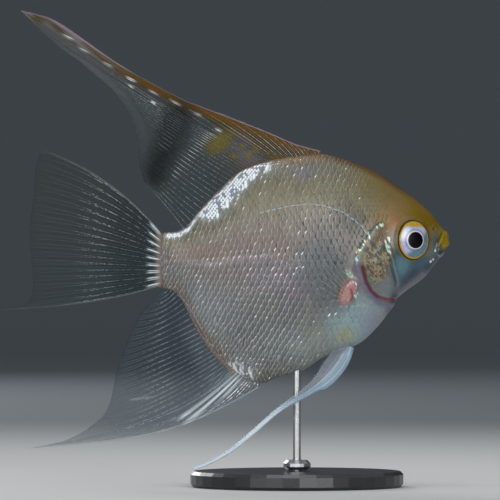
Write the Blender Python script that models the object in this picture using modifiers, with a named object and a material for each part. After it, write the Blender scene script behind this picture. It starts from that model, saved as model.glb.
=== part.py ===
"""A freshwater angelfish, Pterophyllum scalare, life size, held by a plain display stand.

Metres, +Z up. The fish faces +X, so its right side faces -Y, and Y = 0 is its middle plane. The
origin is the centre of the underside of the stand's base. Outlines on the fish are given in body
lengths: `aft` is the distance behind the snout and `rise` the height over the mouth's level.
"""

import math

import bmesh
import bpy
from mathutils import Euler, Vector

# Driving dimensions, in metres
BODY_LENGTH = 0.075  # snout to the root of the tail fin: the standard length
ROD_AFT = 0.524  # body lengths from the snout to the stand's rod
MOUTH_LEVEL = 0.800 * BODY_LENGTH  # height of the mouth over the table
GAP = 0.0003  # between pieces that touch
FIN_EDGE = 0.00055  # thickness of a fin's web
FIN_RAY = 0.00085  # thickness of a fin at its rays

# Body outlines, each (aft, rise) from the snout to the root of the tail fin
BACK = (
    (0.0, 0.033), (0.003, 0.059), (0.018, 0.069), (0.035, 0.092), (0.062, 0.126),
    (0.101, 0.162), (0.18, 0.218), (0.259, 0.268), (0.377, 0.314), (0.445, 0.327),
    (0.59, 0.31), (0.7, 0.279), (0.809, 0.186), (0.864, 0.127), (0.905, 0.079),
    (0.94, 0.064), (1.0, 0.059),
)
BELLY = (
    (0.0, 0.02), (0.011, 0.0), (0.054, -0.054), (0.082, -0.089), (0.176, -0.161),
    (0.204, -0.207), (0.247, -0.263), (0.308, -0.317), (0.36, -0.339), (0.435, -0.366),
    (0.51, -0.411), (0.592, -0.433), (0.644, -0.452), (0.685, -0.445), (0.765, -0.389),
    (0.842, -0.304), (0.928, -0.162), (0.955, -0.136), (1.0, -0.126),
)
HALF_WIDTH = (
    (0.0, 0.0), (0.004, 0.014), (0.015, 0.021), (0.035, 0.028), (0.070, 0.045),
    (0.127, 0.068), (0.200, 0.085), (0.300, 0.097), (0.400, 0.101), (0.520, 0.095),
    (0.650, 0.076), (0.780, 0.053), (0.880, 0.035), (0.950, 0.024), (1.0, 0.009),
)
SNOUT_LEVEL = 0.0275  # rise of the widest level at the snout
STALK_LEVEL = -0.0335  # rise of the widest level at the tail fin
HEAD_FULLNESS = 0.50  # 0.5 is an ellipse in section, and more is sharper at back and belly
TRUNK_FULLNESS = 0.62
SECTION_POWER = 2.2
SNOUT_CROWDING = 1.5  # rings crowd towards the snout by this power
BODY_SIDES = 26
BODY_RINGS = 34

# Eyes
EYE_AFT, EYE_RISE = 0.141, 0.0335
EYE_RADIUS = 0.0710 * BODY_LENGTH
EYE_DEPTH = 0.027 * BODY_LENGTH  # from the ball's middle to its front
EYE_SUNK = 0.011 * BODY_LENGTH  # the ball's middle lies this far under the cheek
EYE_TURN = math.radians(15)  # the eye looks this far forwards
ORBIT_SWELL = 0.008 * BODY_LENGTH  # the cheek swells this much round the eye
ORBIT_REACH = 0.095  # body lengths

# Lines along which the body is parted, each (aft, rise) from top to bottom
GILL_LINE = (
    (0.29, 0.355), (0.289, 0.177), (0.297, 0.095), (0.329, 0.033), (0.353, -0.04),
    (0.324, -0.114), (0.28, -0.165), (0.232, -0.187), (0.182, -0.185), (0.12, -0.222),
)
JAW_LINE = ((-0.03, 0.026), (0.011, 0.017), (0.046, -0.006), (0.074, -0.04), (0.1, -0.138))
STALK_LINE = ((0.905, 0.158), (0.915, -0.03), (0.935, -0.256))
COVER_OUTLINE = (
    (0.227, 0.049), (0.221, -0.005), (0.204, -0.064), (0.19, -0.118), (0.214, -0.158),
    (0.312, -0.217), (0.438, -0.059), (0.347, 0.074), (0.278, 0.077),
)
COVER_FLOOR = 0.050  # body lengths from the middle plane to the inside of a gill cover

# Fins: roots run along the body, and rays end on the outer edge. Each edge and bend is
# (share of the way along the root, aft, rise); a ray is a curve drawn by its bend point.
DORSAL_ROOT = (0.430, 0.902)
DORSAL_EDGE = (
    (0.0, 0.445, 0.336), (0.10, 0.527, 0.358), (0.20, 0.634, 0.403), (0.267, 0.791, 0.463),
    (0.30, 0.906, 0.505), (0.333, 1.120, 0.618), (0.367, 1.373, 0.782), (0.40, 1.470, 0.806),
    (0.43, 1.385, 0.722), (0.50, 1.236, 0.607), (0.58, 1.158, 0.540), (0.68, 1.103, 0.465),
    (0.78, 1.074, 0.388), (0.90, 1.064, 0.295), (1.0, 1.048, 0.232),
)
DORSAL_BEND = ((0.0, 0.440, 0.329), (0.20, 0.580, 0.368), (0.30, 0.750, 0.425), (0.333, 0.840, 0.434),
               (0.367, 0.930, 0.440), (0.40, 1.020, 0.485), (1.0, 0.975, 0.158))
ANAL_ROOT = (0.648, 0.958)
ANAL_EDGE = (
    (0.0, 0.655, -0.465), (0.05, 0.733, -0.509), (0.1, 0.829, -0.556), (0.14, 0.925, -0.594),
    (0.18, 1.04, -0.624), (0.215, 1.19, -0.645), (0.25, 1.445, -0.665), (0.285, 1.32, -0.64),
    (0.34, 1.235, -0.596), (0.41, 1.182, -0.55), (0.5, 1.158, -0.492), (0.62, 1.143, -0.414),
    (0.75, 1.11, -0.32), (0.88, 1.06, -0.217), (1.0, 0.99, -0.14),
)
ANAL_BEND = ((0.0, 0.650, -0.455), (0.12, 0.765, -0.520), (0.25, 0.960, -0.612), (0.34, 1.010, -0.552),
             (0.60, 1.010, -0.384), (1.0, 0.970, -0.148))
TAIL_ROOT = ((0.0, 0.985, 0.051), (1.0, 0.985, -0.118))
TAIL_EDGE = (
    (0.0, 1.401, 0.341), (0.1, 1.418, 0.27), (0.25, 1.424, 0.177), (0.45, 1.437, 0.059),
    (0.65, 1.43, -0.044), (0.8, 1.425, -0.118), (0.92, 1.447, -0.181), (1.0, 1.545, -0.2),
)
TAIL_BEND = ((0.0, 1.16, 0.266), (0.5, 1.215, 0.02), (1.0, 1.216, -0.194))
PECTORAL_ROOT = ((0.0, 0.354, -0.104), (1.0, 0.386, -0.179))
PECTORAL_EDGE = (
    (0.0, 0.426, 0.049), (0.22, 0.477, 0.055), (0.45, 0.523, 0.025),
    (0.65, 0.541, -0.03), (0.85, 0.528, -0.093), (1.0, 0.485, -0.144),
)
PECTORAL_BEND = ((0.0, 0.39, -0.033), (0.5, 0.449, -0.074), (1.0, 0.439, -0.167))
PECTORAL_SPLAY = math.tan(math.radians(14))  # the fin leans away from the flank
PECTORAL_LIFT = 0.0010  # it stands this far off the flank just behind its root
PELVIC_LINE = (
    (0.0, 0.346, -0.325), (0.08, 0.363, -0.366), (0.2, 0.409, -0.423), (0.34, 0.489, -0.479),
    (0.48, 0.581, -0.528), (0.63, 0.682, -0.611), (0.78, 0.763, -0.677), (0.92, 0.848, -0.722),
    (1.0, 0.885, -0.735),
)
PELVIC_FRONT = ((0.0, 0.016), (0.14, 0.020), (0.26, 0.022), (0.31, 0.012), (0.50, 0.008), (1.0, 0.0045))
PELVIC_REAR = ((0.0, 0.012), (0.08, 0.055), (0.19, 0.052), (0.30, 0.030), (0.40, 0.019), (0.50, 0.007),
               (1.0, 0.0045))
PELVIC_SPREAD = ((0.0, 0.018), (0.25, 0.042), (0.60, 0.062), (1.0, 0.050))
PELVIC_LEAD = 0.353  # the left feeler trails this much further forward, per length out from the middle

# Display stand
BASE_RADIUS = 0.027
BASE_HEIGHT = 0.004
BASE_BEVEL = 0.0008
ROD_RADIUS = 0.0010
ROD_IN_BASE = 0.0025
ROD_IN_BODY = 0.0050
COLLAR_RADIUS = 0.0035
COLLAR_HEIGHT = 0.0025

FLESH = ("flesh", (0.62, 0.58, 0.50), 0.35, 0.25)
GOLD = ("gold_flesh", (0.60, 0.45, 0.20), 0.35, 0.20)
WEB = ("fin_web", (0.62, 0.66, 0.68), 0.40, 0.0)
FILAMENT = ("filament", (0.72, 0.82, 0.84), 0.40, 0.0)
IRIS = ("eye", (0.70, 0.72, 0.78), 0.08, 0.10)
BLACK = ("base_black", (0.03, 0.03, 0.032), 0.35, 0.0)
STEEL = ("rod_steel", (0.62, 0.63, 0.64), 0.25, 1.0)


def clear_scene():
    for obj in list(bpy.data.objects):
        bpy.data.objects.remove(obj)


def collection(name):
    made = bpy.data.collections.new(name)
    bpy.context.scene.collection.children.link(made)
    return made


def material(name, colour, roughness, metallic):
    found = bpy.data.materials.get(name)
    if found:
        return found
    made = bpy.data.materials.new(name)
    made.use_nodes = True
    shader = made.node_tree.nodes["Principled BSDF"]
    shader.inputs["Base Color"].default_value = (*colour, 1.0)
    shader.inputs["Roughness"].default_value = roughness
    shader.inputs["Metallic"].default_value = metallic
    return made


def along(points, at):
    """Value at `at` of the smooth curve through (place, value) points, with no overshoot."""
    if at <= points[0][0]:
        return points[0][1]
    if at >= points[-1][0]:
        return points[-1][1]
    steps = [b[0] - a[0] for a, b in zip(points, points[1:])]
    slopes = [(b[1] - a[1]) / step for a, b, step in zip(points, points[1:], steps)]
    tangents = [slopes[0]]
    for before, after in zip(slopes, slopes[1:]):
        tangents.append(0.0 if before * after <= 0 else 2 * before * after / (before + after))
    tangents.append(slopes[-1])
    i = max(k for k in range(len(steps)) if points[k][0] <= at)
    t = (at - points[i][0]) / steps[i]
    start = points[i][1] * (1 + 2 * t) * (1 - t) ** 2 + points[i + 1][1] * t * t * (3 - 2 * t)
    return start + steps[i] * (tangents[i] * t * (1 - t) ** 2 - tangents[i + 1] * t * t * (1 - t))


def rooted(points, aft):
    """`along`, read on the square root of aft, so that the outline rounds off at the snout."""
    return along([(math.sqrt(place), value) for place, value in points], math.sqrt(max(aft, 0.0)))


def path(points, share):
    """Point (aft, rise) at `share` of a line of (share, aft, rise) points."""
    aft = along([(p[0], p[1]) for p in points], share)
    rise = along([(p[0], p[2]) for p in points], share)
    return Vector((aft, rise))


def level(aft):
    return SNOUT_LEVEL + (STALK_LEVEL - SNOUT_LEVEL) * aft


def place(aft, rise, y=0.0):
    """World position of a point given in body lengths, y in metres."""
    return Vector(((ROD_AFT - aft) * BODY_LENGTH, y, MOUTH_LEVEL + rise * BODY_LENGTH))


def flank(aft, rise):
    """Half thickness of the body in metres at a point inside its outline."""
    middle = level(aft)
    edge = rooted(BACK, aft) if rise > middle else rooted(BELLY, aft)
    height = min(1.0, abs(rise - middle) / max(abs(edge - middle), 1e-6))
    fullness = HEAD_FULLNESS + (TRUNK_FULLNESS - HEAD_FULLNESS) * min(1.0, aft / 0.35)
    half = rooted(HALF_WIDTH, aft) * BODY_LENGTH * (1 - height**SECTION_POWER) ** fullness
    reach = math.hypot(aft - EYE_AFT, rise - EYE_RISE) / ORBIT_REACH
    return half + ORBIT_SWELL * max(0.0, 1 - reach * reach) ** 2 * min(1.0, 2 * (1 - height))


def new_object(name, mesh, look=FLESH, into=None):
    obj = bpy.data.objects.new(name, mesh)
    (into or PARTS).objects.link(obj)
    if not mesh.materials:
        mesh.materials.append(material(*look))
    return obj


def mesh_from(bm, name):
    mesh = bpy.data.meshes.new(name)
    bm.to_mesh(mesh)
    bm.free()
    return mesh


def as_cutter(obj):
    for owner in list(obj.users_collection):
        owner.objects.unlink(obj)
    CUTTERS.objects.link(obj)
    obj.hide_render = True
    obj.display_type = "WIRE"
    return obj


def bake(obj):
    """Replaces an object's mesh with its evaluated one and clears its modifiers."""
    graph = bpy.context.evaluated_depsgraph_get()
    made = bpy.data.meshes.new_from_object(obj.evaluated_get(graph))
    obj.modifiers.clear()
    obj.data = made
    return obj


def triangulate(mesh):
    """Cuts a mesh into triangles without slivers, which keeps the next Boolean exact."""
    bm = bmesh.new()
    bm.from_mesh(mesh)
    bmesh.ops.dissolve_degenerate(bm, dist=1e-5, edges=bm.edges)
    bmesh.ops.triangulate(bm, faces=bm.faces)
    bm.to_mesh(mesh)
    bm.free()


def cut(obj, cutter, operation="DIFFERENCE"):
    triangulate(obj.data)
    boolean = obj.modifiers.new(operation.lower(), "BOOLEAN")
    boolean.operation = operation
    boolean.object = cutter
    return bake(obj)


def body_shell(name, grow=0.0):
    """The whole body from snout to tail root as one closed skin, `grow` metres larger all round."""
    bm = bmesh.new()
    bmesh.ops.create_uvsphere(bm, u_segments=BODY_SIDES, v_segments=BODY_RINGS, radius=1.0)
    for vert in bm.verts:
        ring = math.acos(max(-1.0, min(1.0, vert.co.z))) / math.pi * BODY_RINGS
        aft = min(1.0, ring / (BODY_RINGS - 1)) ** SNOUT_CROWDING
        if ring > BODY_RINGS - 0.5:
            vert.co = place(1.0, level(1.0))
            continue
        turn = math.atan2(vert.co.y, vert.co.x)
        middle = level(aft)
        reach = math.cos(turn) if ring > 0.5 else 0.0
        edge = rooted(BACK, aft) if reach > 0 else rooted(BELLY, aft)
        rise = middle + abs(reach) * (edge - middle)
        side = math.copysign(1.0, math.sin(turn)) if abs(math.sin(turn)) > 1e-6 else 0.0
        vert.co = place(aft, rise, side * flank(aft, rise) if ring > 0.5 else 0.0)
    if bm.calc_volume(signed=True) < 0:
        bmesh.ops.reverse_faces(bm, faces=bm.faces)
    if grow:
        bm.normal_update()
        pushed = [(vert, vert.co + vert.normal * grow) for vert in bm.verts]
        for vert, target in pushed:
            vert.co = target
    return new_object(name, mesh_from(bm, name))


def slab(name, line, steps=18, reach=0.02):
    """A curtain a gap thick that follows a line of (aft, rise) points right through the body."""
    keyed = [(i / (len(line) - 1), *point) for i, point in enumerate(line)]
    bm = bmesh.new()
    verts = [bm.verts.new(place(*path(keyed, i / steps), -reach)) for i in range(steps + 1)]
    edges = [bm.edges.new(pair) for pair in zip(verts, verts[1:])]
    grown = bmesh.ops.extrude_edge_only(bm, edges=edges)
    moved = [item for item in grown["geom"] if isinstance(item, bmesh.types.BMVert)]
    bmesh.ops.translate(bm, verts=moved, vec=(0, 2 * reach, 0))
    obj = new_object(name, mesh_from(bm, name))
    thick = obj.modifiers.new("gap", "SOLIDIFY")
    thick.thickness = GAP
    thick.offset = 0.0
    return as_cutter(bake(obj))


def prism(name, outline, grow, inner, side):
    """A block over an outline of (aft, rise) points, from `inner` metres off the middle plane out."""
    centre = sum((Vector(p) for p in outline), Vector((0, 0))) / len(outline)
    outer = 0.02
    bm = bmesh.new()
    verts = []
    for point in outline:
        away = (Vector(point) - centre).normalized() * grow / BODY_LENGTH
        verts.append(bm.verts.new(place(*(Vector(point) + away), side * inner)))
    face = bm.faces.new(verts)
    grown = bmesh.ops.extrude_face_region(bm, geom=[face])
    moved = [item for item in grown["geom"] if isinstance(item, bmesh.types.BMVert)]
    bmesh.ops.translate(bm, verts=moved, vec=(0, side * (outer - inner), 0))
    bmesh.ops.recalc_face_normals(bm, faces=bm.faces)
    return as_cutter(new_object(name, mesh_from(bm, name)))


def split(obj):
    """Separates an object's loose bodies and returns them as objects, foremost first."""
    bm = bmesh.new()
    bm.from_mesh(obj.data)
    left, islands = set(bm.verts), []
    while left:
        island, edge = set(), [left.pop()]
        while edge:
            vert = edge.pop()
            island.add(vert.index)
            near = {e.other_vert(vert) for e in vert.link_edges} & left
            left -= near
            edge.extend(near)
        islands.append(island)
    bm.free()
    pieces = []
    for island in islands:
        part = bmesh.new()
        part.from_mesh(obj.data)
        loose = [vert for vert in part.verts if vert.index not in island]
        bmesh.ops.delete(part, geom=loose, context="VERTS")
        pieces.append(new_object("piece", mesh_from(part, "piece")))
    bpy.data.objects.remove(obj)
    return sorted(pieces, key=lambda piece: -max(vert.co.x for vert in piece.data.vertices))


def eye_ball(name, side, grow=0.0, rings=9, sides=18):
    """One lens-shaped eye, flat against the cheek and turned a little forwards."""
    bm = bmesh.new()
    bmesh.ops.create_uvsphere(bm, u_segments=sides, v_segments=rings, radius=1.0)
    radius = EYE_RADIUS + grow
    bmesh.ops.scale(bm, vec=(radius, radius, EYE_DEPTH + grow), verts=bm.verts)
    facing = Euler((side * -math.pi / 2, 0, side * -EYE_TURN)).to_matrix()
    bmesh.ops.rotate(bm, matrix=facing, verts=bm.verts)
    cheek = flank(EYE_AFT, EYE_RISE) - EYE_SUNK
    bmesh.ops.translate(bm, vec=place(EYE_AFT, EYE_RISE, side * cheek), verts=bm.verts)
    obj = new_object(name, mesh_from(bm, name), IRIS)
    obj.data.shade_smooth()
    return obj


def sheet(name, columns, rows, where, weight, look=WEB):
    """A thin plate on a grid: where(t, s) gives its middle, weight(t, s) its share of full thickness."""
    bm = bmesh.new()
    bmesh.ops.create_grid(bm, x_segments=columns, y_segments=rows, size=0.5)
    shares = [(vert.co.x + 0.5, vert.co.y + 0.5) for vert in bm.verts]
    for vert, (t, s) in zip(bm.verts, shares):
        vert.co = where(t, s)
    obj = new_object(name, mesh_from(bm, name), look)
    group = obj.vertex_groups.new(name="thickness")
    for index, (t, s) in enumerate(shares):
        group.add([index], weight(t, s), "REPLACE")
    thick = obj.modifiers.new("thickness", "SOLIDIFY")
    thick.thickness = FIN_RAY
    thick.offset = 0.0
    thick.vertex_group = "thickness"
    thick.thickness_vertex_group = FIN_EDGE / FIN_RAY
    return obj


def ray(root, bend, edge, s):
    """Point at share s of the ray that leaves the root towards the bend and ends on the edge."""
    return root * (1 - s) ** 2 + bend * 2 * s * (1 - s) + edge * s * s


def ridged(columns):
    """Thickness share that stands up along every other column of a plate and fades outwards."""
    return lambda t, s: (round(t * columns) % 2) * (1 - 0.8 * s)


def median_fin(name, root, bend, edge, columns, rows):
    """A fin in the middle plane, as a plate with a ridge along every other column."""

    def where(t, s):
        point = ray(root(t), path(bend, t), path(edge, t), s)
        return place(point.x, point.y)

    return clear_of_body(sheet(name, columns, rows, where, ridged(columns)))


def root_on(outline, span, inset):
    """A root that runs along a body outline, `inset` body lengths under it."""

    def root(t):
        aft = span[0] + (span[1] - span[0]) * t
        return Vector((aft, rooted(outline, aft) - inset))

    return root


def clear_of_body(obj):
    return cut(bake(obj), bpy.data.objects["body_clearance"])


def pectoral_fin(name, side):
    """A fan that lies back along the flank and leans out from it."""

    def where(t, s):
        root = path(PECTORAL_ROOT, t)
        point = ray(root, path(PECTORAL_BEND, t), path(PECTORAL_EDGE, t), s)
        away = (point - root).length * BODY_LENGTH
        lift = PECTORAL_LIFT * min(1.0, away / 0.002) - 0.0003 + away * PECTORAL_SPLAY
        return place(point.x, point.y, side * (flank(*point) + lift))

    columns = 14
    return clear_of_body(sheet(name, columns, 6, where, ridged(columns)))


def pelvic_fin(name, side):
    """A blade that tapers to a long filament, with a short web behind its root."""

    def where(t, s):
        here, ahead = path(PELVIC_LINE, s), path(PELVIC_LINE, min(1.0, s + 0.02))
        run = (ahead - here).normalized() if s < 1 else (here - path(PELVIC_LINE, 0.98)).normalized()
        across = Vector((-run.y, run.x))
        offset = along(PELVIC_REAR, s) * (2 * t - 1) if t > 0.5 else along(PELVIC_FRONT, s) * (2 * t - 1)
        point = here + across * offset
        apart = along(PELVIC_SPREAD, s)
        lead = PELVIC_LEAD * apart * min(1.0, 4 * s) if side > 0 else 0.0
        return place(point.x - lead, point.y, side * apart * BODY_LENGTH)

    return clear_of_body(sheet(name, 4, 22, where, lambda t, s: 1.0 if 0.1 < t < 0.6 else 0.0, FILAMENT))


def cylinder(name, radius, low, high, sides, look):
    bm = bmesh.new()
    bmesh.ops.create_cone(bm, cap_ends=True, segments=sides, radius1=radius, radius2=radius, depth=high - low)
    bmesh.ops.translate(bm, vec=(0, 0, (low + high) / 2), verts=bm.verts)
    return new_object(name, mesh_from(bm, name), look)


def build_body():
    """Head, jaw, gill covers, trunk and tail stalk: one skin, parted by thin cuts."""
    body = body_shell("body")
    for name, line in (("stalk_cut", STALK_LINE), ("gill_cut", GILL_LINE), ("jaw_cut", JAW_LINE)):
        cut(body, slab(name, line))
    by_size = sorted(split(body), key=lambda piece: -len(piece.data.vertices))[:4]
    jaw = min(by_size, key=lambda piece: max(vert.co.z - 2 * vert.co.x for vert in piece.data.vertices))
    rest = sorted((p for p in by_size if p != jaw), key=lambda p: -max(v.co.x for v in p.data.vertices))
    head, trunk, stalk = rest
    for piece, name in ((head, "head"), (jaw, "lower_jaw"), (trunk, "trunk"), (stalk, "tail_stalk")):
        piece.name = name
    head.data.materials.clear()
    head.data.materials.append(material(*GOLD))
    for side, label in ((-1, "right"), (1, "left")):
        floor = COVER_FLOOR * BODY_LENGTH
        cover = new_object(f"gill_cover_{label}", head.data.copy())
        cut(cover, prism(f"cover_{label}", COVER_OUTLINE, 0.0, floor + GAP, side), "INTERSECT")
        cut(head, prism(f"cover_seat_{label}", COVER_OUTLINE, GAP, floor, side))
        ball = eye_ball(f"eye_socket_{label}", side, GAP)
        cut(head, as_cutter(ball))
        eye_ball(f"eye_{label}", side)
    return trunk


def build_fins():
    inside = 0.020
    median_fin("dorsal_fin", root_on(BACK, DORSAL_ROOT, inside), DORSAL_BEND, DORSAL_EDGE, 30, 8)
    median_fin("anal_fin", root_on(BELLY, ANAL_ROOT, -inside), ANAL_BEND, ANAL_EDGE, 32, 7)
    median_fin("tail_fin", lambda t: path(TAIL_ROOT, t), TAIL_BEND, TAIL_EDGE, 22, 6)
    for side, label in ((-1, "right"), (1, "left")):
        pectoral_fin(f"pectoral_fin_{label}", side)
        pelvic_fin(f"pelvic_fin_{label}", side)


def build_stand(trunk):
    """A round base with a rod that stands in it and ends in a socket in the belly."""
    belly = place(ROD_AFT, rooted(BELLY, ROD_AFT)).z
    foot = BASE_HEIGHT - ROD_IN_BASE
    top = belly + ROD_IN_BODY
    socket = cylinder("rod_socket", ROD_RADIUS + GAP, belly - 0.002, top + GAP, 18, STEEL)
    cut(trunk, as_cutter(socket))
    base = cylinder("stand_base", BASE_RADIUS, 0.0, BASE_HEIGHT, 40, BLACK)
    rounding = base.modifiers.new("rounding", "BEVEL")
    rounding.width = BASE_BEVEL
    rounding.segments = 1
    bake(base)
    hole = cylinder("rod_hole", ROD_RADIUS + GAP, foot - GAP, BASE_HEIGHT + 0.002, 18, STEEL)
    cut(base, as_cutter(hole))
    cylinder("stand_rod", ROD_RADIUS, foot, top, 18, STEEL)
    seat = BASE_HEIGHT + GAP
    collar = cylinder("stand_collar", COLLAR_RADIUS, seat, seat + COLLAR_HEIGHT, 18, STEEL)
    rounding = collar.modifiers.new("rounding", "BEVEL")
    rounding.width = COLLAR_HEIGHT / 3
    rounding.segments = 1
    bake(collar)
    bore = cylinder("collar_bore", ROD_RADIUS + GAP, seat - 0.002, seat + COLLAR_HEIGHT + 0.002, 18, STEEL)
    cut(collar, as_cutter(bore))


clear_scene()
PARTS = collection("freshwater_angelfish")
CUTTERS = collection("cutters")
as_cutter(body_shell("body_clearance", GAP))
build_stand(build_body())
build_fins()
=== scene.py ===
"""The looks of a life-size freshwater angelfish, Pterophyllum scalare, on its display stand.

Metres, +Z up. The fish faces +X and its right side faces -Y. Places on the fish are given in body
lengths: `aft` is the distance behind the snout and `rise` the height over the mouth's level. The
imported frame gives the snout, the root of the tail fin and the stand, and one skin, a coat of
scales, five kinds of fin and two eyes are built on it.
"""

from __future__ import annotations

import logging
import math
from dataclasses import dataclass, field
from enum import Enum
from typing import Callable, Iterable, Sequence

import bmesh
import bpy
import numpy as np
from mathutils import Euler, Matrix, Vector

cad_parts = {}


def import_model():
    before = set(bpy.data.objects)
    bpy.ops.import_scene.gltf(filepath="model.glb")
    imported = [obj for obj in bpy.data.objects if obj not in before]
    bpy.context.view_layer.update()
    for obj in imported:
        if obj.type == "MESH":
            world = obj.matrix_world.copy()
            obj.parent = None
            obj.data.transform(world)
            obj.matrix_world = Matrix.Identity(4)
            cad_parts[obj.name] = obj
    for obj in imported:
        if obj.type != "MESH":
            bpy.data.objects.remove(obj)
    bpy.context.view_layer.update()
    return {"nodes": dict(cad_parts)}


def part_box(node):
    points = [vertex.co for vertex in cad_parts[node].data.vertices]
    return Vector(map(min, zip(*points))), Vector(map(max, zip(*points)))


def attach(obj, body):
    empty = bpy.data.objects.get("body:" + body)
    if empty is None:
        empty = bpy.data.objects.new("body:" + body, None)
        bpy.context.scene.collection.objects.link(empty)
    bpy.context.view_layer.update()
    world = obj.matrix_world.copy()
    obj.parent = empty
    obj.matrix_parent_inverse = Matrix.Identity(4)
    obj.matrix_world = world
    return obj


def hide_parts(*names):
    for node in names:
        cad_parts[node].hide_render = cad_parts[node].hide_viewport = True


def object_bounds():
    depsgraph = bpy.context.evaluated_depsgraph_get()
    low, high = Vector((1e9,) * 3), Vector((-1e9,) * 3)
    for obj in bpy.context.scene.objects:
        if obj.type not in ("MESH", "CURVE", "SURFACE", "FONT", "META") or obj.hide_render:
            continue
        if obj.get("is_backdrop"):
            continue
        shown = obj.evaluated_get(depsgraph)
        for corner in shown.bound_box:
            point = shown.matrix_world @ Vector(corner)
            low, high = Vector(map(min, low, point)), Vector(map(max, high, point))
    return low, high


LOG = logging.getLogger("angelfish")
SEED = 71
TINY = 1e-12  # Keeps lengths off zero
STEP = 0.004  # How far, in body lengths or shares of a ray, directions are measured over
Array = np.ndarray
BMesh = bmesh.types.BMesh
Mesh = bpy.types.Mesh
Material = bpy.types.Material
Colour = tuple[float, float, float]
Line = Sequence[tuple[float, float]]


class Side(Enum):
    """The two flanks, by the sign of Y on each."""

    RIGHT = -1
    LEFT = 1

    @property
    def label(self) -> str:
        """The word that ends the names of this side's pieces."""
        return self.name.lower()


def paint(code: str) -> Colour:
    """Turns a display colour such as "7a787c" into linear light.

    Args:
        code: Six hexadecimal digits, red first.

    Returns:
        The linear red, green and blue.
    """
    parts = [int(code[i : i + 2], 16) / 255 for i in (0, 2, 4)]
    linear = [p / 12.92 if p <= 0.04045 else ((p + 0.055) / 1.055) ** 2.4 for p in parts]
    return (linear[0], linear[1], linear[2])


def smooth(value: Array, low: float, high: float) -> Array:
    """Rises smoothly from 0 at `low` to 1 at `high`.

    Args:
        value: The numbers to shape.
        low: Where the rise starts.
        high: Where it ends; lower than `low` for a fall.

    Returns:
        The shaped numbers, from 0 to 1.
    """
    share = np.clip((value - low) / (high - low), 0.0, 1.0)
    return share * share * (3 - 2 * share)


def unit(vectors: Array) -> Array:
    """Scales vectors to a length of 1."""
    return vectors / (np.linalg.norm(vectors, axis=-1, keepdims=True) + TINY)


class Curve:
    """A smooth curve through (place, value) points that never overshoots them."""

    def __init__(self, points: Line, rounded: bool = False) -> None:
        """Prepares the curve's tangents.

        Args:
            points: The places and values, in order of place.
            rounded: Reads the curve on the square root of place, so that it rounds off at 0.
        """
        self.rounded = rounded
        self.places = np.array([p[0] for p in points], dtype=float)
        if rounded:
            self.places = np.sqrt(self.places)
        self.values = np.array([p[1] for p in points], dtype=float)
        self.steps = np.diff(self.places)
        slopes = np.diff(self.values) / self.steps
        before, after = slopes[:-1], slopes[1:]
        total = np.where(before * after > 0, before + after, 1.0)
        inner = np.where(before * after > 0, 2 * before * after / total, 0.0)
        self.tangents = np.concatenate(([slopes[0]], inner, [slopes[-1]]))

    def __call__(self, at: Array | float) -> Array:
        """Reads the curve.

        Args:
            at: The places to read it at.

        Returns:
            Its values there, held level beyond both ends.
        """
        at = np.asarray(at, dtype=float)
        if self.rounded:
            at = np.sqrt(np.maximum(at, 0.0))
        at = np.clip(at, self.places[0], self.places[-1])
        i = np.clip(np.searchsorted(self.places, at, side="right") - 1, 0, len(self.steps) - 1)
        step = self.steps[i]
        t = (at - self.places[i]) / step
        start = self.values[i] * (1 + 2 * t) * (1 - t) ** 2
        end = self.values[i + 1] * t * t * (3 - 2 * t)
        leaving = self.tangents[i] * t * (1 - t) ** 2
        arriving = self.tangents[i + 1] * t * t * (1 - t)
        return start + end + step * (leaving - arriving)


class Trace:
    """A line of (share, aft, rise) points, read as a smooth path."""

    def __init__(self, points: Sequence[tuple[float, float, float]]) -> None:
        """Keeps one curve for aft and one for rise."""
        self.aft = Curve([(p[0], p[1]) for p in points])
        self.rise = Curve([(p[0], p[2]) for p in points])

    def __call__(self, share: Array) -> Array:
        """Gives the (aft, rise) points at the given shares of the path."""
        return np.stack([self.aft(share), self.rise(share)], axis=-1)


@dataclass(frozen=True)
class Patch:
    """A soft-edged ellipse on the flank, in body lengths."""

    aft: float
    rise: float
    long: float
    tall: float
    turn: float = 0.0
    soft: float = 0.5

    def weight(self, aft: Array, rise: Array) -> Array:
        """Gives 1 inside the patch and 0 outside it, with a soft edge."""
        turn = math.radians(self.turn)
        ahead, over = aft - self.aft, rise - self.rise
        long = (ahead * math.cos(turn) + over * math.sin(turn)) / self.long
        tall = (over * math.cos(turn) - ahead * math.sin(turn)) / self.tall
        return smooth(np.hypot(long, tall), 1 + self.soft, 1 - self.soft)


@dataclass(frozen=True)
class Stroke:
    """A soft-edged line on the flank, in body lengths; `lean` moves it across its own run."""

    points: Line
    width: float
    lean: float = 0.0
    fade: float = 0.0

    def near(self, aft: Array, rise: Array) -> tuple[Array, Array]:
        """Measures the way to the line.

        Args:
            aft: Places behind the snout.
            rise: Places over the mouth's level.

        Returns:
            The signed distance, more on the line's left as it runs, and the share of its run.
        """
        best = np.full(aft.shape, 9.0)
        signed = np.zeros(aft.shape)
        run = np.zeros(aft.shape)
        spans = list(zip(self.points, self.points[1:]))
        for number, (start, end) in enumerate(spans):
            ahead, over = end[0] - start[0], end[1] - start[1]
            square = ahead * ahead + over * over
            t = np.clip(((aft - start[0]) * ahead + (rise - start[1]) * over) / square, 0.0, 1.0)
            off_aft, off_rise = aft - start[0] - t * ahead, rise - start[1] - t * over
            away = np.hypot(off_aft, off_rise)
            closer = away < best
            hand = np.sign(ahead * off_rise - over * off_aft)
            best = np.where(closer, away, best)
            signed = np.where(closer, hand * away, signed)
            run = np.where(closer, (number + t) / len(spans), run)
        return signed, run

    def weight(self, aft: Array, rise: Array) -> Array:
        """Gives 1 on the line, falling away on both sides and, with `fade`, towards its ends."""
        signed, run = self.near(aft, rise)
        weight = np.exp(-(((signed - self.lean) / self.width) ** 2))
        if self.fade:
            weight = weight * smooth(run, 0.0, self.fade) * smooth(run, 1.0, 1 - self.fade)
        return weight


Shape = Patch | Stroke


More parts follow.
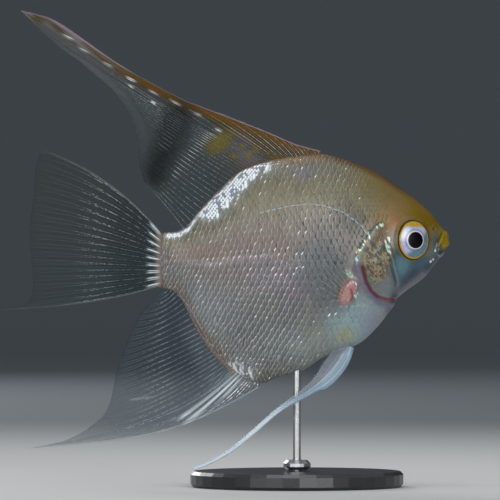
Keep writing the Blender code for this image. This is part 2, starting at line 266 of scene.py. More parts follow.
def added(parts: Iterable[tuple[float, Shape]], aft: Array, rise: Array) -> Array:
    """Adds up the weights of shapes, each times its own amount."""
    return sum(amount * shape.weight(aft, rise) for amount, shape in parts)


def most(shapes: Iterable[Shape], aft: Array, rise: Array) -> Array:
    """Gives the largest of several shapes' weights at each place."""
    return np.max([shape.weight(aft, rise) for shape in shapes], axis=0)


class Layers:
    """Linear colours at a set of places, painted over one another."""

    def __init__(self, code: str, aft: Array, rise: Array) -> None:
        """Starts with one display colour at all the places."""
        self.aft, self.rise = aft, rise
        self.colour = np.ones((*aft.shape, 3)) * np.array(paint(code))

    def lay(self, code: str, weight: Array) -> None:
        """Paints a display colour over the ones before it, by weight."""
        weight = np.clip(weight, 0.0, 1.0)[..., None]
        self.colour = self.colour * (1 - weight) + np.array(paint(code)) * weight

    def mark(self, code: str, share: float, shape: Shape) -> None:
        """Paints a display colour on one shape."""
        self.lay(code, share * shape.weight(self.aft, self.rise))


# Body outlines, each (aft, rise) from the snout to the root of the tail fin
BACK = (
    (0.0, 0.033), (0.003, 0.059), (0.018, 0.069), (0.035, 0.092), (0.062, 0.126),
    (0.101, 0.162), (0.18, 0.218), (0.259, 0.268), (0.377, 0.314), (0.445, 0.327),
    (0.59, 0.31), (0.7, 0.279), (0.809, 0.186), (0.864, 0.127), (0.905, 0.079),
    (0.94, 0.064), (1.0, 0.059),
)
BELLY = (
    (0.0, 0.02), (0.011, 0.0), (0.054, -0.054), (0.082, -0.089), (0.176, -0.161),
    (0.204, -0.207), (0.247, -0.263), (0.308, -0.317), (0.36, -0.339), (0.435, -0.366),
    (0.51, -0.411), (0.592, -0.433), (0.644, -0.452), (0.685, -0.445), (0.765, -0.389),
    (0.842, -0.304), (0.928, -0.162), (0.955, -0.136), (1.0, -0.126),
)
HALF_WIDTH = (
    (0.0, 0.0), (0.004, 0.014), (0.015, 0.021), (0.035, 0.028), (0.070, 0.045),
    (0.127, 0.068), (0.200, 0.085), (0.300, 0.097), (0.400, 0.101), (0.520, 0.095),
    (0.650, 0.076), (0.780, 0.053), (0.880, 0.035), (0.950, 0.024), (1.0, 0.009),
)
EYE_AFT, EYE_RISE = 0.141, 0.0335

# Lines and fields on the head and flank
MOUTH = ((-0.004, 0.017), (0.016, 0.0), (0.035, -0.010))
LIP_FOLD = ((0.022, 0.071), (0.036, 0.040), (0.047, 0.013), (0.045, -0.007))
CHEEK_RIDGE = ((0.228, 0.024), (0.217, -0.013), (0.202, -0.064), (0.187, -0.111), (0.191, -0.135))
GILL_SLIT = (
    (0.322, -0.050), (0.315, -0.061), (0.304, -0.105), (0.285, -0.138), (0.26, -0.159),
    (0.226, -0.17), (0.19, -0.169), (0.165, -0.160),
)
GILL_SKIN = ((0.343, -0.035), (0.339, -0.05), (0.325, -0.092), (0.298, -0.142), (0.256, -0.178),
             (0.204, -0.189), (0.172, -0.176))
COVER_EDGE = ((0.232, 0.098), (0.273, 0.081), (0.301, 0.047), (0.333, 0.0), (0.345, -0.04))
LATERAL_LINE = ((0.305, 0.057), (0.318, 0.078), (0.352, 0.105), (0.386, 0.128), (0.444, 0.148),
                (0.498, 0.155), (0.562, 0.148), (0.662, 0.125))
BRIGHT_ROW = ((0.94, -0.034), (0.833, -0.047), (0.773, -0.034), (0.597, -0.017))
LOW_FLANK = ((0.48, -0.005), (0.60, -0.075), (0.72, -0.150), (0.80, -0.200))
PECTORAL_BASE = Patch(0.365, -0.142, 0.045, 0.026, turn=-60, soft=0.30)


@dataclass
class Form:
    """The shape of the body, read from the frame's ends and the outlines."""

    level_at_snout: float = 0.0275
    level_at_tail: float = -0.0335
    head_fullness: float = 0.50
    trunk_fullness: float = 0.62
    section_power: float = 2.2
    head_long: float = 0.35
    orbit_swell: float = 0.008
    orbit_reach: float = 0.095
    mouth_level: float = 0.800
    snout: float = field(init=False)
    length: float = field(init=False)
    back: Curve = field(init=False)
    belly: Curve = field(init=False)
    width: Curve = field(init=False)

    def __post_init__(self) -> None:
        """Takes the snout and the body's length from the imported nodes."""
        self.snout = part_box("head")[1][0]
        self.length = self.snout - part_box("tail_stalk")[0][0]
        self.mouth_level *= self.length
        self.back = Curve(BACK, rounded=True)
        self.belly = Curve(BELLY, rounded=True)
        self.width = Curve(HALF_WIDTH, rounded=True)
        self._measure_sections()

    def level(self, aft: Array) -> Array:
        """Gives the rise of the widest level."""
        return self.level_at_snout + (self.level_at_tail - self.level_at_snout) * aft

    def place(self, aft: Array, rise: Array, y: Array | float = 0.0) -> Array:
        """Turns places in body lengths, with y in metres, into world points."""
        aft, rise, y = np.broadcast_arrays(aft, rise, y)
        x, z = self.snout - aft * self.length, self.mouth_level + rise * self.length
        return np.stack([x, y, z], axis=-1)

    def read(self, points: Array) -> tuple[Array, Array]:
        """Turns world points into places in body lengths."""
        return (self.snout - points[:, 0]) / self.length, (points[:, 2] - self.mouth_level) / self.length

    def edge(self, aft: Array, up: Array) -> Array:
        """Gives the outline's rise, of the back where `up` is true and of the belly elsewhere."""
        return np.where(up, self.back(aft), self.belly(aft))

    def height(self, aft: Array, rise: Array) -> Array:
        """Gives how far a place is from the widest level, where the outline is at 1."""
        middle = self.level(aft)
        reach = np.maximum(np.abs(self.edge(aft, rise > middle) - middle), 1e-6)
        return np.minimum(1.0, np.abs(rise - middle) / reach)

    def flank(self, aft: Array, rise: Array) -> Array:
        """Gives the body's half thickness in metres at a place inside its outline."""
        height = self.height(aft, rise)
        behind = np.minimum(1.0, aft / self.head_long)
        fullness = self.head_fullness + (self.trunk_fullness - self.head_fullness) * behind
        half = self.width(aft) * (1 - height**self.section_power) ** fullness
        reach = np.hypot(aft - EYE_AFT, rise - EYE_RISE) / self.orbit_reach
        swell = np.maximum(0.0, 1 - reach * reach) ** 2 * np.minimum(1.0, 2 * (1 - height))
        return (half + self.orbit_swell * swell) * self.length

    def _measure_sections(self, slices: int = 300, marks: int = 400) -> None:
        """Tables the way round each section, from the widest level to the back and the belly."""
        self.slices = np.linspace(0.0, 1.0, slices) ** 1.6
        fine = np.sin(np.linspace(0, math.pi / 2, marks))
        evenly = np.linspace(0.0, 1.0, marks)
        self.total, self.rises, self.halves = {}, {}, {}
        for up in (True, False):
            aft = np.repeat(self.slices[:, None], marks, axis=1)
            middle = self.level(aft)
            rise = middle + fine[None, :] * (self.edge(aft, np.full(aft.shape, up)) - middle)
            half = self.flank(aft, rise) / self.length
            half[:, -1] = 0.0
            steps = np.hypot(np.diff(rise, axis=1), np.diff(half, axis=1))
            around = np.concatenate([np.zeros((slices, 1)), np.cumsum(steps, axis=1)], axis=1)
            self.total[up] = np.maximum(around[:, -1], 1e-6)
            for table, values in ((self.rises, rise), (self.halves, half)):
                rows = zip(self.total[up], around, values)
                table[up] = np.array([np.interp(evenly * total, way, row) for total, way, row in rows])

    def _read(self, table: Array, slot: Array, mark: Array) -> Array:
        """Reads a table between its rows and columns."""
        i, j = slot.astype(int), mark.astype(int)
        u, v = slot - i, mark - j
        near = table[i, j] * (1 - v) + table[i, j + 1] * v
        far = table[i + 1, j] * (1 - v) + table[i + 1, j + 1] * v
        return near * (1 - u) + far * u

    def wrap(self, aft: Array, way: Array, side: int) -> tuple[Array, Array, Array]:
        """Finds points on the body by the way round its sections.

        Args:
            aft: Places behind the snout.
            way: The way round from the widest level, down being negative.
            side: -1 or 1. A way past the back or belly comes out on the other side.

        Returns:
            The world points, their rises, and the way left before each reaches the outline.
        """
        aft = np.clip(aft, 0.0, 1.0)
        slot = np.interp(aft, self.slices, np.arange(len(self.slices)))
        slot = np.clip(slot, 0, len(self.slices) - 1.001)
        row = slot.astype(int)
        share = slot - row
        rise, half, left = np.zeros(aft.shape), np.zeros(aft.shape), np.zeros(aft.shape)
        for up in (True, False):
            total = self.total[up][row] * (1 - share) + self.total[up][row + 1] * share
            gone = np.abs(way) / total
            folded = np.clip(np.where(gone > 1, 2 - gone, gone), 0.0, 1.0)
            columns = self.rises[up].shape[1] - 1
            mark = np.minimum(folded * columns, columns - 0.001)
            chosen = (way >= 0) == up
            rise = np.where(chosen, self._read(self.rises[up], slot, mark), rise)
            turned = np.where(gone > 1, -1.0, 1.0)
            half = np.where(chosen, turned * self._read(self.halves[up], slot, mark), half)
            left = np.where(chosen, total - np.abs(way), left)
        return self.place(aft, rise, side * half * self.length), rise, left

    def outwards(self, aft: Array, way: Array, side: int) -> Array:
        """Finds the directions out of the body.

        Args:
            aft: Places behind the snout.
            way: The way round from the widest level.
            side: -1 or 1.

        Returns:
            A unit vector for each place.
        """
        tailwards = self.wrap(aft + STEP, way, side)[0] - self.wrap(aft - STEP, way, side)[0]
        upwards = self.wrap(aft, way + STEP, side)[0] - self.wrap(aft, way - STEP, side)[0]
        return unit(side * np.cross(unit(tailwards), upwards))


@dataclass
class Relief:
    """How the skin rises and sinks on the body's plain shape, in metres."""

    form: Form
    slit_depth: float = 0.00045
    lip_roll: float = 0.00020
    fold_depth: float = 0.00022
    nostril_depth: float = 0.00045
    socket_depth: float = 0.0017
    gill_depth: float = 0.0007
    cover_swell: float = 0.00030
    cover_ledge: float = 0.00024
    pectoral_swell: float = 0.00055
    coat_depth: float = 0.00016
    orbit_long: float = 0.0545
    orbit_tall: float = 0.0630

    def orbit(self, aft: Array, rise: Array) -> Array:
        """Gives the way from the middle of the eye, where the lid's edge is at 1."""
        return np.hypot((aft - EYE_AFT) / self.orbit_long, (rise - EYE_RISE) / self.orbit_tall)

    def scaled(self, aft: Array, rise: Array) -> Array:
        """Gives 1 where the coat of scales lies and 0 on the bare front of the head."""
        return smooth(aft - 0.25 * np.maximum(rise, 0.0), 0.17, 0.24)

    def height(self, aft: Array, rise: Array) -> Array:
        """Adds up the forms of the head and flank.

        Args:
            aft: Places behind the snout.
            rise: Places over the mouth's level.

        Returns:
            The height over the plain shape, in metres.
        """
        signed, run = Stroke(COVER_EDGE, 0.01).near(aft, rise)
        ledge = smooth(signed, 0.003, -0.004) * smooth(signed, -0.045, -0.008)
        high = self._socket(aft, rise) - self.coat_depth * self.scaled(aft, rise)
        high = high + self.cover_ledge * ledge * smooth(run, 0.02, 0.2)
        parts = (
            (-self.slit_depth, Stroke(MOUTH, 0.0028)),
            (self.lip_roll, Stroke(MOUTH, 0.0060, lean=0.0090)),
            (self.lip_roll, Stroke(MOUTH, 0.0060, lean=-0.0090)),
            (-self.fold_depth, Stroke(LIP_FOLD, 0.0032, fade=0.2)),
            (0.6 * self.fold_depth, Stroke(LIP_FOLD, 0.006, lean=-0.009, fade=0.3)),
            (-self.nostril_depth, Patch(0.059, 0.071, 0.0042, 0.0055)),
            (0.3 * self.nostril_depth, Patch(0.059, 0.071, 0.0095, 0.0110)),
            (0.5 * self.cover_swell, Stroke(CHEEK_RIDGE, 0.006, fade=0.2)),
            (-0.6 * self.cover_swell, Stroke(CHEEK_RIDGE, 0.004, lean=0.010, fade=0.2)),
            (self.cover_swell, Patch(0.27, -0.04, 0.055, 0.105, soft=0.6)),
            (0.9 * self.cover_ledge, Stroke(GILL_SKIN, 0.009, fade=0.15)),
            (-self.gill_depth, Stroke(GILL_SLIT, 0.0046, fade=0.12)),
            (0.8 * self.cover_ledge, Stroke(GILL_SLIT, 0.0055, lean=-0.0095, fade=0.12)),
            (self.pectoral_swell, PECTORAL_BASE),
        )
        return high + added(parts, aft, rise)

    def _socket(self, aft: Array, rise: Array) -> Array:
        """Sinks the skin under the eye and lifts the lid round it."""
        orbit = self.orbit(aft, rise)
        ahead = np.abs(aft - EYE_AFT) / (self.orbit_long * np.maximum(orbit, 0.05))
        lid = 0.00022 + 0.00030 * ahead**2
        raised = np.exp(-(((orbit - 1.06) / 0.13) ** 2))
        return lid * raised - self.socket_depth * smooth(orbit, 0.99, 0.90)


@dataclass
class Markings:
    """The fish's colours by place, the same for its skin and for its scales."""

    form: Form
    relief: Relief
    depth: float = 1.05
    gloss: float = 0.022

    def colour(self, aft: Array, rise: Array) -> Array:
        """Lays the colours over each other, from the widest fields to the finest lines.

        Args:
            aft: Places behind the snout.
            rise: Places over the mouth's level.

        Returns:
            Linear red, green and blue for each place.
        """
        form = self.form
        up, down = form.back(aft) - rise, rise - form.belly(aft)
        height = form.height(aft, rise) * np.sign(rise - form.level(aft))
        coat = Layers("787470", aft, rise)
        lay, mark = coat.lay, coat.mark
        # Olive above, silver-lilac behind and below, warm brown along the middle
        lay("828069", 0.90 * smooth(height, 0.10, 0.55))
        mark("5f5e56", 0.80, Patch(0.352, 0.100, 0.066, 0.050, turn=30, soft=0.8))
        lay("807e72", 0.60 * smooth(height, 0.60, 0.95) * smooth(aft, 0.30, 0.50))
        lay("797e7b", 0.80 * smooth(height, -0.15, -0.60))
        mark("8b9092", 0.80, Patch(0.845, -0.205, 0.09, 0.085, soft=0.8))
        mark("7f6850", 0.60, Patch(0.845, -0.005, 0.105, 0.030, turn=-6, soft=0.7))
        mark("7b6552", 0.50, Patch(0.64, 0.02, 0.17, 0.075, turn=-8, soft=0.8))
        mark("7b7480", 0.60, Patch(0.60, -0.09, 0.16, 0.055, turn=25, soft=0.8))
        lay("7f6b5a", 0.50 * smooth(down, 0.075, 0.010) * smooth(aft, 0.62, 0.72))
        mark("8fa6ac", 0.85, Patch(0.33, -0.25, 0.105, 0.075, turn=-30, soft=0.7))
        mark("837f93", 0.55, Patch(0.262, -0.245, 0.050, 0.050, turn=-40, soft=0.8))
        mark("959d99", 0.70, Patch(0.50, -0.34, 0.13, 0.06, turn=15, soft=0.8))
        mark("576065", 0.85, Patch(0.452, -0.065, 0.085, 0.115, turn=-20, soft=0.7))
        mark("a09f80", 0.80, Patch(0.368, -0.287, 0.032, 0.024, soft=0.8))
        # The golden back and forehead, with painted shade along the back's outline, and the orange line
        # along the back
        lay("75693c", 0.80 * smooth(up, 0.15, 0.04) * smooth(aft, 0.42, 0.22))
        lay("76600f", 0.90 * smooth(aft + 0.6 * (0.1 - rise), 0.22, 0.10) * smooth(rise, 0.055, 0.095))
        lay("7a6c4c", 0.60 * smooth(aft, 0.40, 0.22) * smooth(rise, 0.07, 0.15) * smooth(aft, 0.10, 0.20))
        mark("886f4b", 0.85, Patch(0.225, 0.105, 0.070, 0.045, turn=-30, soft=0.8))
        mark("8c6038", 0.50, Patch(0.215, 0.080, 0.040, 0.020, turn=-40, soft=0.9))
        # Painted shade: the gold darkens along the back's outline, where it turns away from the light
        lay("5f4208", 0.92 * smooth(up, 0.034, 0.004) * smooth(aft, 0.06, 0.20) * smooth(aft, 0.52, 0.36))
        mark("80829a", 0.40, Patch(0.510, 0.262, 0.040, 0.022, turn=-10, soft=0.8))
        lay("8a6434", 0.60 * smooth(up, 0.045, 0.006) * smooth(aft, 0.36, 0.50) * smooth(aft, 0.96, 0.80))
        lay("6a5220", 0.80 * smooth(up, 0.012, 0.002) * smooth(aft, 0.80, 0.90))
        # Cheek, chin and lips
        cheek = smooth(rise + 0.25 * aft, 0.075, 0.030) * smooth(aft, 0.235, 0.200)
        lay("3a4551", 0.96 * cheek)
        lay("565f68", 0.45 * cheek * smooth(down, 0.030, 0.004))
        mark("4f6573", 0.70, Patch(0.106, -0.040, 0.034, 0.022, turn=-35, soft=0.8))
        mark("707470", 0.85, Patch(0.074, 0.004, 0.026, 0.036, turn=-10, soft=0.7))
        mark("847c8a", 0.60, Stroke(((0.095, -0.085), (0.175, -0.148)), 0.016))
        mark("6c919a", 0.60, Patch(0.178, -0.052, 0.030, 0.042, turn=20, soft=0.8))
        lay("62562a", 0.85 * smooth(rise + 1.2 * aft, 0.105, 0.070) * smooth(rise, 0.000, 0.030))
        mark("8e7b26", 0.85, Patch(0.018, 0.036, 0.019, 0.036, soft=0.6))
        mark("8e8fa0", 0.70, Stroke(MOUTH, 0.0045, lean=-0.010))
        # Painted shade in the mouth's slit, along the lip fold and in the nostril's pit
        mark("3d3320", 0.80, Stroke(MOUTH, 0.0024))
        mark("3a2c0c", 0.65, Stroke(LIP_FOLD, 0.0036, fade=0.2))
        mark("3a2f12", 0.80, Patch(0.059, 0.071, 0.0035, 0.0048))
        # Painted highlights: small blue-white glints by the mouth's corner
        mark("a9bfc4", 0.90, Stroke(((0.047, 0.022), (0.053, 0.000)), 0.0024))
        mark("d3e6f4", 0.95, Patch(0.0545, -0.002, 0.0034, 0.0046))
        mark("d3e6f4", 0.95, Patch(0.0605, -0.032, 0.0034, 0.0034))
        mark("d3e6f4", 0.95, Patch(0.0700, -0.0390, 0.0046, 0.0040, turn=-40))
        # Gill cover
        mark("625749", 0.92, Patch(0.270, -0.035, 0.046, 0.088, turn=8, soft=0.5))
        mark("62807e", 0.55, Patch(0.292, -0.105, 0.018, 0.034, turn=-25, soft=0.8))
        mark("757a81", 0.85, Patch(0.235, -0.125, 0.050, 0.032, turn=-15, soft=0.6))
        # Painted shade in the groove beside the cheek's ridge
        mark("2f2f33", 0.60, Stroke(CHEEK_RIDGE, 0.0038, lean=0.0095, fade=0.2))
        mark("8f9496", 0.40, Stroke(CHEEK_RIDGE, 0.0028, lean=0.0, fade=0.15))
        mark("5f8078", 0.60, Stroke(COVER_EDGE, 0.0075, lean=-0.006, fade=0.1))
        # Painted shadow under the gill cover's edge
        mark("2c2927", 0.60, Stroke(COVER_EDGE, 0.0035, lean=0.0045, fade=0.1))
        mark("706e82", 0.95, Stroke(GILL_SKIN, 0.0105, fade=0.12))
        mark("7a2f38", 0.97, Stroke(GILL_SLIT, 0.0044, fade=0.12))
        mark("8d6a72", 0.60, Stroke(GILL_SLIT[4:], 0.0060, fade=0.2))
        # Painted highlight: a pale glint just behind the gill cover's edge
        mark("b3b592", 0.45, Patch(0.362, -0.078, 0.010, 0.014, turn=-20, soft=0.7))
        # Root of the pectoral fin
        root = PECTORAL_BASE.weight(aft, rise)
        fan = np.cos(28 * np.arctan2(rise + 0.170, aft - 0.345))
        lay("a67c80", 0.95 * root)
        lay("c9a493", 0.55 * root * smooth(fan, 0.0, 0.8) * smooth(aft, 0.352, 0.362))
        mark("7a3236", 0.85, Stroke(((0.358, -0.132), (0.351, -0.152), (0.353, -0.172)), 0.0040))
        # The bright row on the rear flank and the sparkle along the dorsal fin's foot, both painted
        # highlights
        mark("9f96a0", 0.45, Stroke(BRIGHT_ROW, 0.008, fade=0.2))
        sparkle = self.sparkle(aft, rise)
        lay("b6c0c6", 0.85 * sparkle)
        lay("dfe8ee", 0.85 * sparkle * smooth(aft, 0.82, 0.87))
        mark("4a4744", 0.60, Stroke(((0.852, 0.047), (0.79, 0.092), (0.715, 0.146)), 0.0045, fade=0.15))
        # The golden lid round the eye, and painted shade in the socket where the skin closes under the ball
        orbit = self.relief.orbit(aft, rise)
        lay("7a5f1c", 0.80 * np.exp(-(((orbit - 1.08) / 0.05) ** 2)))
        # Painted shade in the eye's socket
        lay("5a4515", smooth(orbit, 1.035, 0.97))
        return np.maximum(coat.colour - self.gloss, 0.003) * self.depth

    def sparkle(self, aft: Array, rise: Array) -> Array:
        """Gives the painted highlights on the scales at the foot of the dorsal and anal fins and over the
        stalk.
        """
        up = self.form.back(aft) - rise
        wide = 0.038 + 0.036 * smooth(aft, 0.66, 0.74) * smooth(aft, 0.86, 0.80)
        band = smooth(up / wide, 1.55, 0.65) * smooth(up, 0.003, 0.009)
        thin = smooth(up, 0.026, 0.016) * smooth(up, 0.004, 0.008)
        upper = np.where(aft > 0.855, thin, band) * smooth(aft, 0.55, 0.70) * smooth(aft, 0.985, 0.960)
        foot = Stroke(((0.650, -0.425), (0.715, -0.412), (0.780, -0.372)), 0.040, fade=0.2)
        return np.maximum(upper, 0.46 * foot.weight(aft, rise))

    def marble(self, aft: Array, rise: Array) -> Array:
        """Gives where the gill cover is marbled, short of the slit behind it."""
        cover = Patch(0.268, -0.030, 0.048, 0.088, turn=8, soft=0.45).weight(aft, rise)
        return cover * (1 - Stroke(GILL_SLIT, 0.014).weight(aft, rise))

    def glint(self, aft: Array, rise: Array) -> Array:
        """Gives where the skin glitters: the cover's edge, the fins' roots and under the eye."""
        marks = (
            Stroke(COVER_EDGE, 0.0095, lean=-0.004, fade=0.06),
            Stroke(((0.347, -0.098), (0.338, -0.138), (0.338, -0.178)), 0.0100, fade=0.1),
            Stroke(((0.385, -0.195), (0.425, -0.215), (0.465, -0.225)), 0.0085, fade=0.2),
            Patch(0.362, -0.078, 0.013, 0.017, turn=-20, soft=0.6),
            Patch(0.228, 0.020, 0.014, 0.045, turn=-5, soft=0.6),
            Patch(0.372, -0.318, 0.030, 0.010, turn=-35, soft=0.6),
        )
        breast = 0.45 * Patch(0.335, -0.245, 0.060, 0.060, soft=0.6).weight(aft, rise)
        return np.max([0.20 * self.marble(aft, rise), breast, most(marks, aft, rise)], axis=0)


def write_fields(mesh: Mesh, fields: dict[str, Array]) -> None:
    """Stores values on a mesh's vertices.

    Args:
        mesh: The mesh to write to.
        fields: By name, one number or one colour for each vertex.
    """
    for name, values in fields.items():
        if values.ndim == 1:
            layer = mesh.attributes.new(name, "FLOAT", "POINT")
            layer.data.foreach_set("value", values.astype(np.float32))
            continue
        layer = mesh.attributes.new(name, "FLOAT_COLOR", "POINT")
        full = np.concatenate([values, np.ones((len(values), 1))], axis=1)
        layer.data.foreach_set("color", full.astype(np.float32).ravel())


def write_map(mesh: Mesh, name: str, places: Array) -> None:
    """Stores a UV map.

    Args:
        mesh: The mesh to write to.
        name: The map's name.
        places: The map's place for each vertex.
    """
    corners = np.empty(len(mesh.loops), dtype=np.int32)
    mesh.loops.foreach_get("vertex_index", corners)
    layer = mesh.uv_layers.new(name=name)
    layer.data.foreach_set("uv", places[corners].astype(np.float32).ravel())


def vertex_array(bm: BMesh) -> Array:
    """Copies a bmesh's vertices into an array, in order."""
    bm.verts.ensure_lookup_table()
    return np.array([vert.co[:] for vert in bm.verts])


def move_to(bm: BMesh, points: Array) -> None:
    """Moves a bmesh's vertices to the points of an array, in order."""
    for vert, point in zip(bm.verts, points):
        vert.co = point


def slab(along: int, across: int) -> BMesh:
    """Makes a closed slab one unit square and one thick from a grid of cells."""
    bm = bmesh.new()
    bmesh.ops.create_grid(bm, x_segments=along, y_segments=across, size=0.5)
    grown = bmesh.ops.extrude_face_region(bm, geom=list(bm.faces))
    moved = [item for item in grown["geom"] if isinstance(item, bmesh.types.BMVert)]
    bmesh.ops.translate(bm, verts=moved, vec=(0, 0, 1))
    return bm


def ball_mesh(around: int, along: int) -> BMesh:
    """Makes a ball one unit in radius, with poles above and below."""
    bm = bmesh.new()
    bmesh.ops.create_uvsphere(bm, u_segments=around, v_segments=along, radius=1.0)
    return bm


def close_outwards(bm: BMesh) -> None:
    """Turns a closed shape's faces outwards."""
    if bm.calc_volume(signed=True) < 0:
        bmesh.ops.reverse_faces(bm, faces=bm.faces)


def finished(bm: BMesh, name: str) -> Mesh:
    """Turns a bmesh into a smooth-shaded mesh and frees it."""
    mesh = bpy.data.meshes.new(name)
    bm.to_mesh(mesh)
    bm.free()
    mesh.shade_smooth()
    return mesh


def add_piece(mesh: Mesh, look: Material, replaces: Sequence[str] = ()) -> bpy.types.Object:
    """Makes a mesh a piece of the model.

    Args:
        mesh: The finished mesh, whose name the piece takes.
        look: The material.
        replaces: The CAD nodes that the piece stands for.

    Returns:
        The new object, at the origin.
    """
    piece = bpy.data.objects.new(mesh.name, mesh)
    bpy.context.scene.collection.objects.link(piece)
    mesh.materials.clear()
    mesh.materials.append(look)
    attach(piece, "root")
    if replaces:
        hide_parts(*replaces)
    LOG.info("%s: %d faces", piece.name, len(mesh.polygons))
    return piece


@dataclass
class Stencil:
    """One small closed shape, kept as arrays so that it can be repeated in one joined mesh."""

    points: Array
    corners: Array
    starts: Array

    @classmethod
    def cut(cls, bm: BMesh) -> Stencil:
        """Takes the shape from a bmesh and frees it."""
        points = vertex_array(bm)
        loops = [[vert.index for vert in face.verts] for face in bm.faces]
        bm.free()
        sizes = np.array([len(loop) for loop in loops])
        starts = np.concatenate([[0], np.cumsum(sizes)[:-1]])
        return cls(points, np.array([index for loop in loops for index in loop]), starts)

    def repeat(self, name: str, points: Array) -> Mesh:
        """Joins many copies into one mesh.

        Args:
            name: The mesh's name.
            points: For each copy, the place of each of the shape's vertices.

        Returns:
            The joined mesh, smooth shaded.
        """
        count, size = points.shape[:2]
        mesh = bpy.data.meshes.new(name)
        mesh.vertices.add(count * size)
        mesh.vertices.foreach_set("co", points.astype(np.float32).ravel())
        corners = (self.corners[None, :] + size * np.arange(count)[:, None]).ravel()
        mesh.loops.add(len(corners))
        mesh.loops.foreach_set("vertex_index", corners.astype(np.int32))
        starts = (self.starts[None, :] + len(self.corners) * np.arange(count)[:, None]).ravel()
        mesh.polygons.add(len(starts))
        mesh.polygons.foreach_set("loop_start", starts.astype(np.int32))
        mesh.update(calc_edges=True)
        mesh.shade_smooth()
        return mesh


Feeds = dict[str | int, object]


@dataclass(frozen=True)
class Wire:
    """One value in a material's node tree; arithmetic with it adds nodes to the tree."""

    look: Paints
    socket: bpy.types.NodeSocket

    def __add__(self, other: object) -> Wire:
        """Adds a number or a wire."""
        return self.look.maths("ADD", self, other)

    def __sub__(self, other: object) -> Wire:
        """Takes a number or a wire away."""
        return self.look.maths("SUBTRACT", self, other)

    def __mul__(self, other: object) -> Wire:
        """Multiplies by a number or a wire."""
        return self.look.maths("MULTIPLY", self, other)

    def __truediv__(self, other: object) -> Wire:
        """Divides by a number or a wire."""
        return self.look.maths("DIVIDE", self, other)

    def off(self, middle: float) -> Wire:
        """Gives how far the value is from a middle one."""
        return self.look.maths("ABSOLUTE", self - middle)

    def rise(self, low: float, high: float) -> Wire:
        """Rises smoothly from 0 at `low` to 1 at `high`."""
        feeds = {
            "Value": self, "From Min": min(low, high), "From Max": max(low, high),
            "To Min": float(low > high), "To Max": float(low < high),
        }
        return self.look.node("ShaderNodeMapRange", "Result", feeds, interpolation_type="SMOOTHSTEP")


class Paints:
    """Adds shader nodes to a material; each method returns the value that it makes."""

    def __init__(self, name: str) -> None:
        """Starts an empty material."""
        self.material = bpy.data.materials.new(name)
        self.material.use_nodes = True
        self.tree = self.material.node_tree
        self.tree.nodes.clear()
        self.places = self.node("ShaderNodeTexCoord", "Object", {})

    def node(self, kind: str, output: str | int, feeds: Feeds, **settings: object) -> Wire:
        """Adds a node.

        Args:
            kind: Blender's name for the kind of node.
            output: The output to give back.
            feeds: By input, a wire, a number, a vector, a linear colour or a display colour's code.
            settings: The node's own properties.

        Returns:
            The chosen output.
        """
        node = self.tree.nodes.new(kind)
        for name, value in settings.items():
            setattr(node, name, value)
        for key, value in feeds.items():
            socket = node.inputs[key]
            value = paint(value) if isinstance(value, str) else value
            if isinstance(value, Wire):
                self.tree.links.new(value.socket, socket)
            elif isinstance(value, tuple) and socket.type == "RGBA":
                socket.default_value = (*value, 1.0)
            else:
                socket.default_value = value
        return Wire(self, node.outputs[output])

    def maths(self, operation: str, *values: object) -> Wire:
        """Does one step of arithmetic on numbers or wires."""
        return self.node("ShaderNodeMath", 0, dict(enumerate(values)), operation=operation)

    def length(self, x: Wire, y: Wire) -> Wire:
        """Gives the length of two numbers taken as a vector."""
        return self.maths("SQRT", self.maths("POWER", x, 2.0) + self.maths("POWER", y, 2.0))

    def mix(self, share: object, below: object, above: object, blend: str = "MIX") -> Wire:
        """Lays one colour over another by a share."""
        feeds = {0: share, 6: below, 7: above}
        return self.node("ShaderNodeMix", 2, feeds, data_type="RGBA", blend_type=blend)

    def tinge(self, share: object, below: object, above: object) -> Wire:
        """Multiplies one colour by another by a share."""
        return self.mix(share, below, above, "MULTIPLY")

    def between(self, share: object, low: object, high: object) -> Wire:
        """Mixes two numbers by a share."""
        return self.node("ShaderNodeMix", 0, {0: share, 2: low, 3: high}, data_type="FLOAT")

    def noise(self, size: float, detail: float = 2.0, places: Wire | None = None) -> Wire:
        """Gives smooth noise whose lumps are about `size` metres across."""
        feeds = {"Vector": places or self.places, "Scale": 1.0 / size, "Detail": detail}
        return self.node("ShaderNodeTexNoise", "Fac", feeds)

    def stretch(self, scale: tuple[float, float, float], turn: float = 0.0) -> Wire:
        """Stretches a pattern's places, after a turn about the axis across the fish."""
        kind = "ShaderNodeMapping"
        turned = self.node(kind, "Vector", {"Vector": self.places, "Rotation": (0.0, turn, 0.0)})
        return self.node(kind, "Vector", {"Vector": turned, "Scale": scale})

    def number(self, name: str) -> Wire:
        """Reads a number stored on the piece's vertices."""
        return self.node("ShaderNodeAttribute", "Fac", {}, attribute_name=name)

    def colour(self, name: str) -> Wire:
        """Reads a colour stored on the piece's vertices."""
        return self.node("ShaderNodeAttribute", "Color", {}, attribute_name=name)

    def split(self, vector: Wire) -> tuple[Wire, Wire]:
        """Gives the first two numbers of a vector."""
        first, second = (self.node("ShaderNodeSeparateXYZ", axis, {0: vector}) for axis in "XY")
        return first, second

    def map(self, name: str) -> tuple[Wire, Wire]:
        """Reads the two numbers of one of the piece's UV maps."""
        return self.split(self.node("ShaderNodeUVMap", "UV", {}, uv_map=name))

    def join(self, x: object, y: object) -> Wire:
        """Joins two numbers into a place at a height of 0."""
        return self.node("ShaderNodeCombineXYZ", 0, {0: x, 1: y})

    def bump(self, height: object, depth: float) -> Wire:
        """Turns a height from 0 to 1 into relief `depth` metres deep."""
        return self.node("ShaderNodeBump", "Normal", {"Distance": depth, "Strength": 1.0, "Height": height})

    def finish(self, **sockets: object) -> Material:
        """Makes the surface and closes the material.

        Args:
            sockets: The surface's inputs, with _ for a space in each name.

        Returns:
            The finished material.
        """
        feeds = {name.replace("_", " "): value for name, value in sockets.items()}
        surface = self.node("ShaderNodeBsdfPrincipled", 0, feeds)
        end = self.tree.nodes.new("ShaderNodeOutputMaterial")
        self.tree.links.new(surface.socket, end.inputs["Surface"])
        return self.material


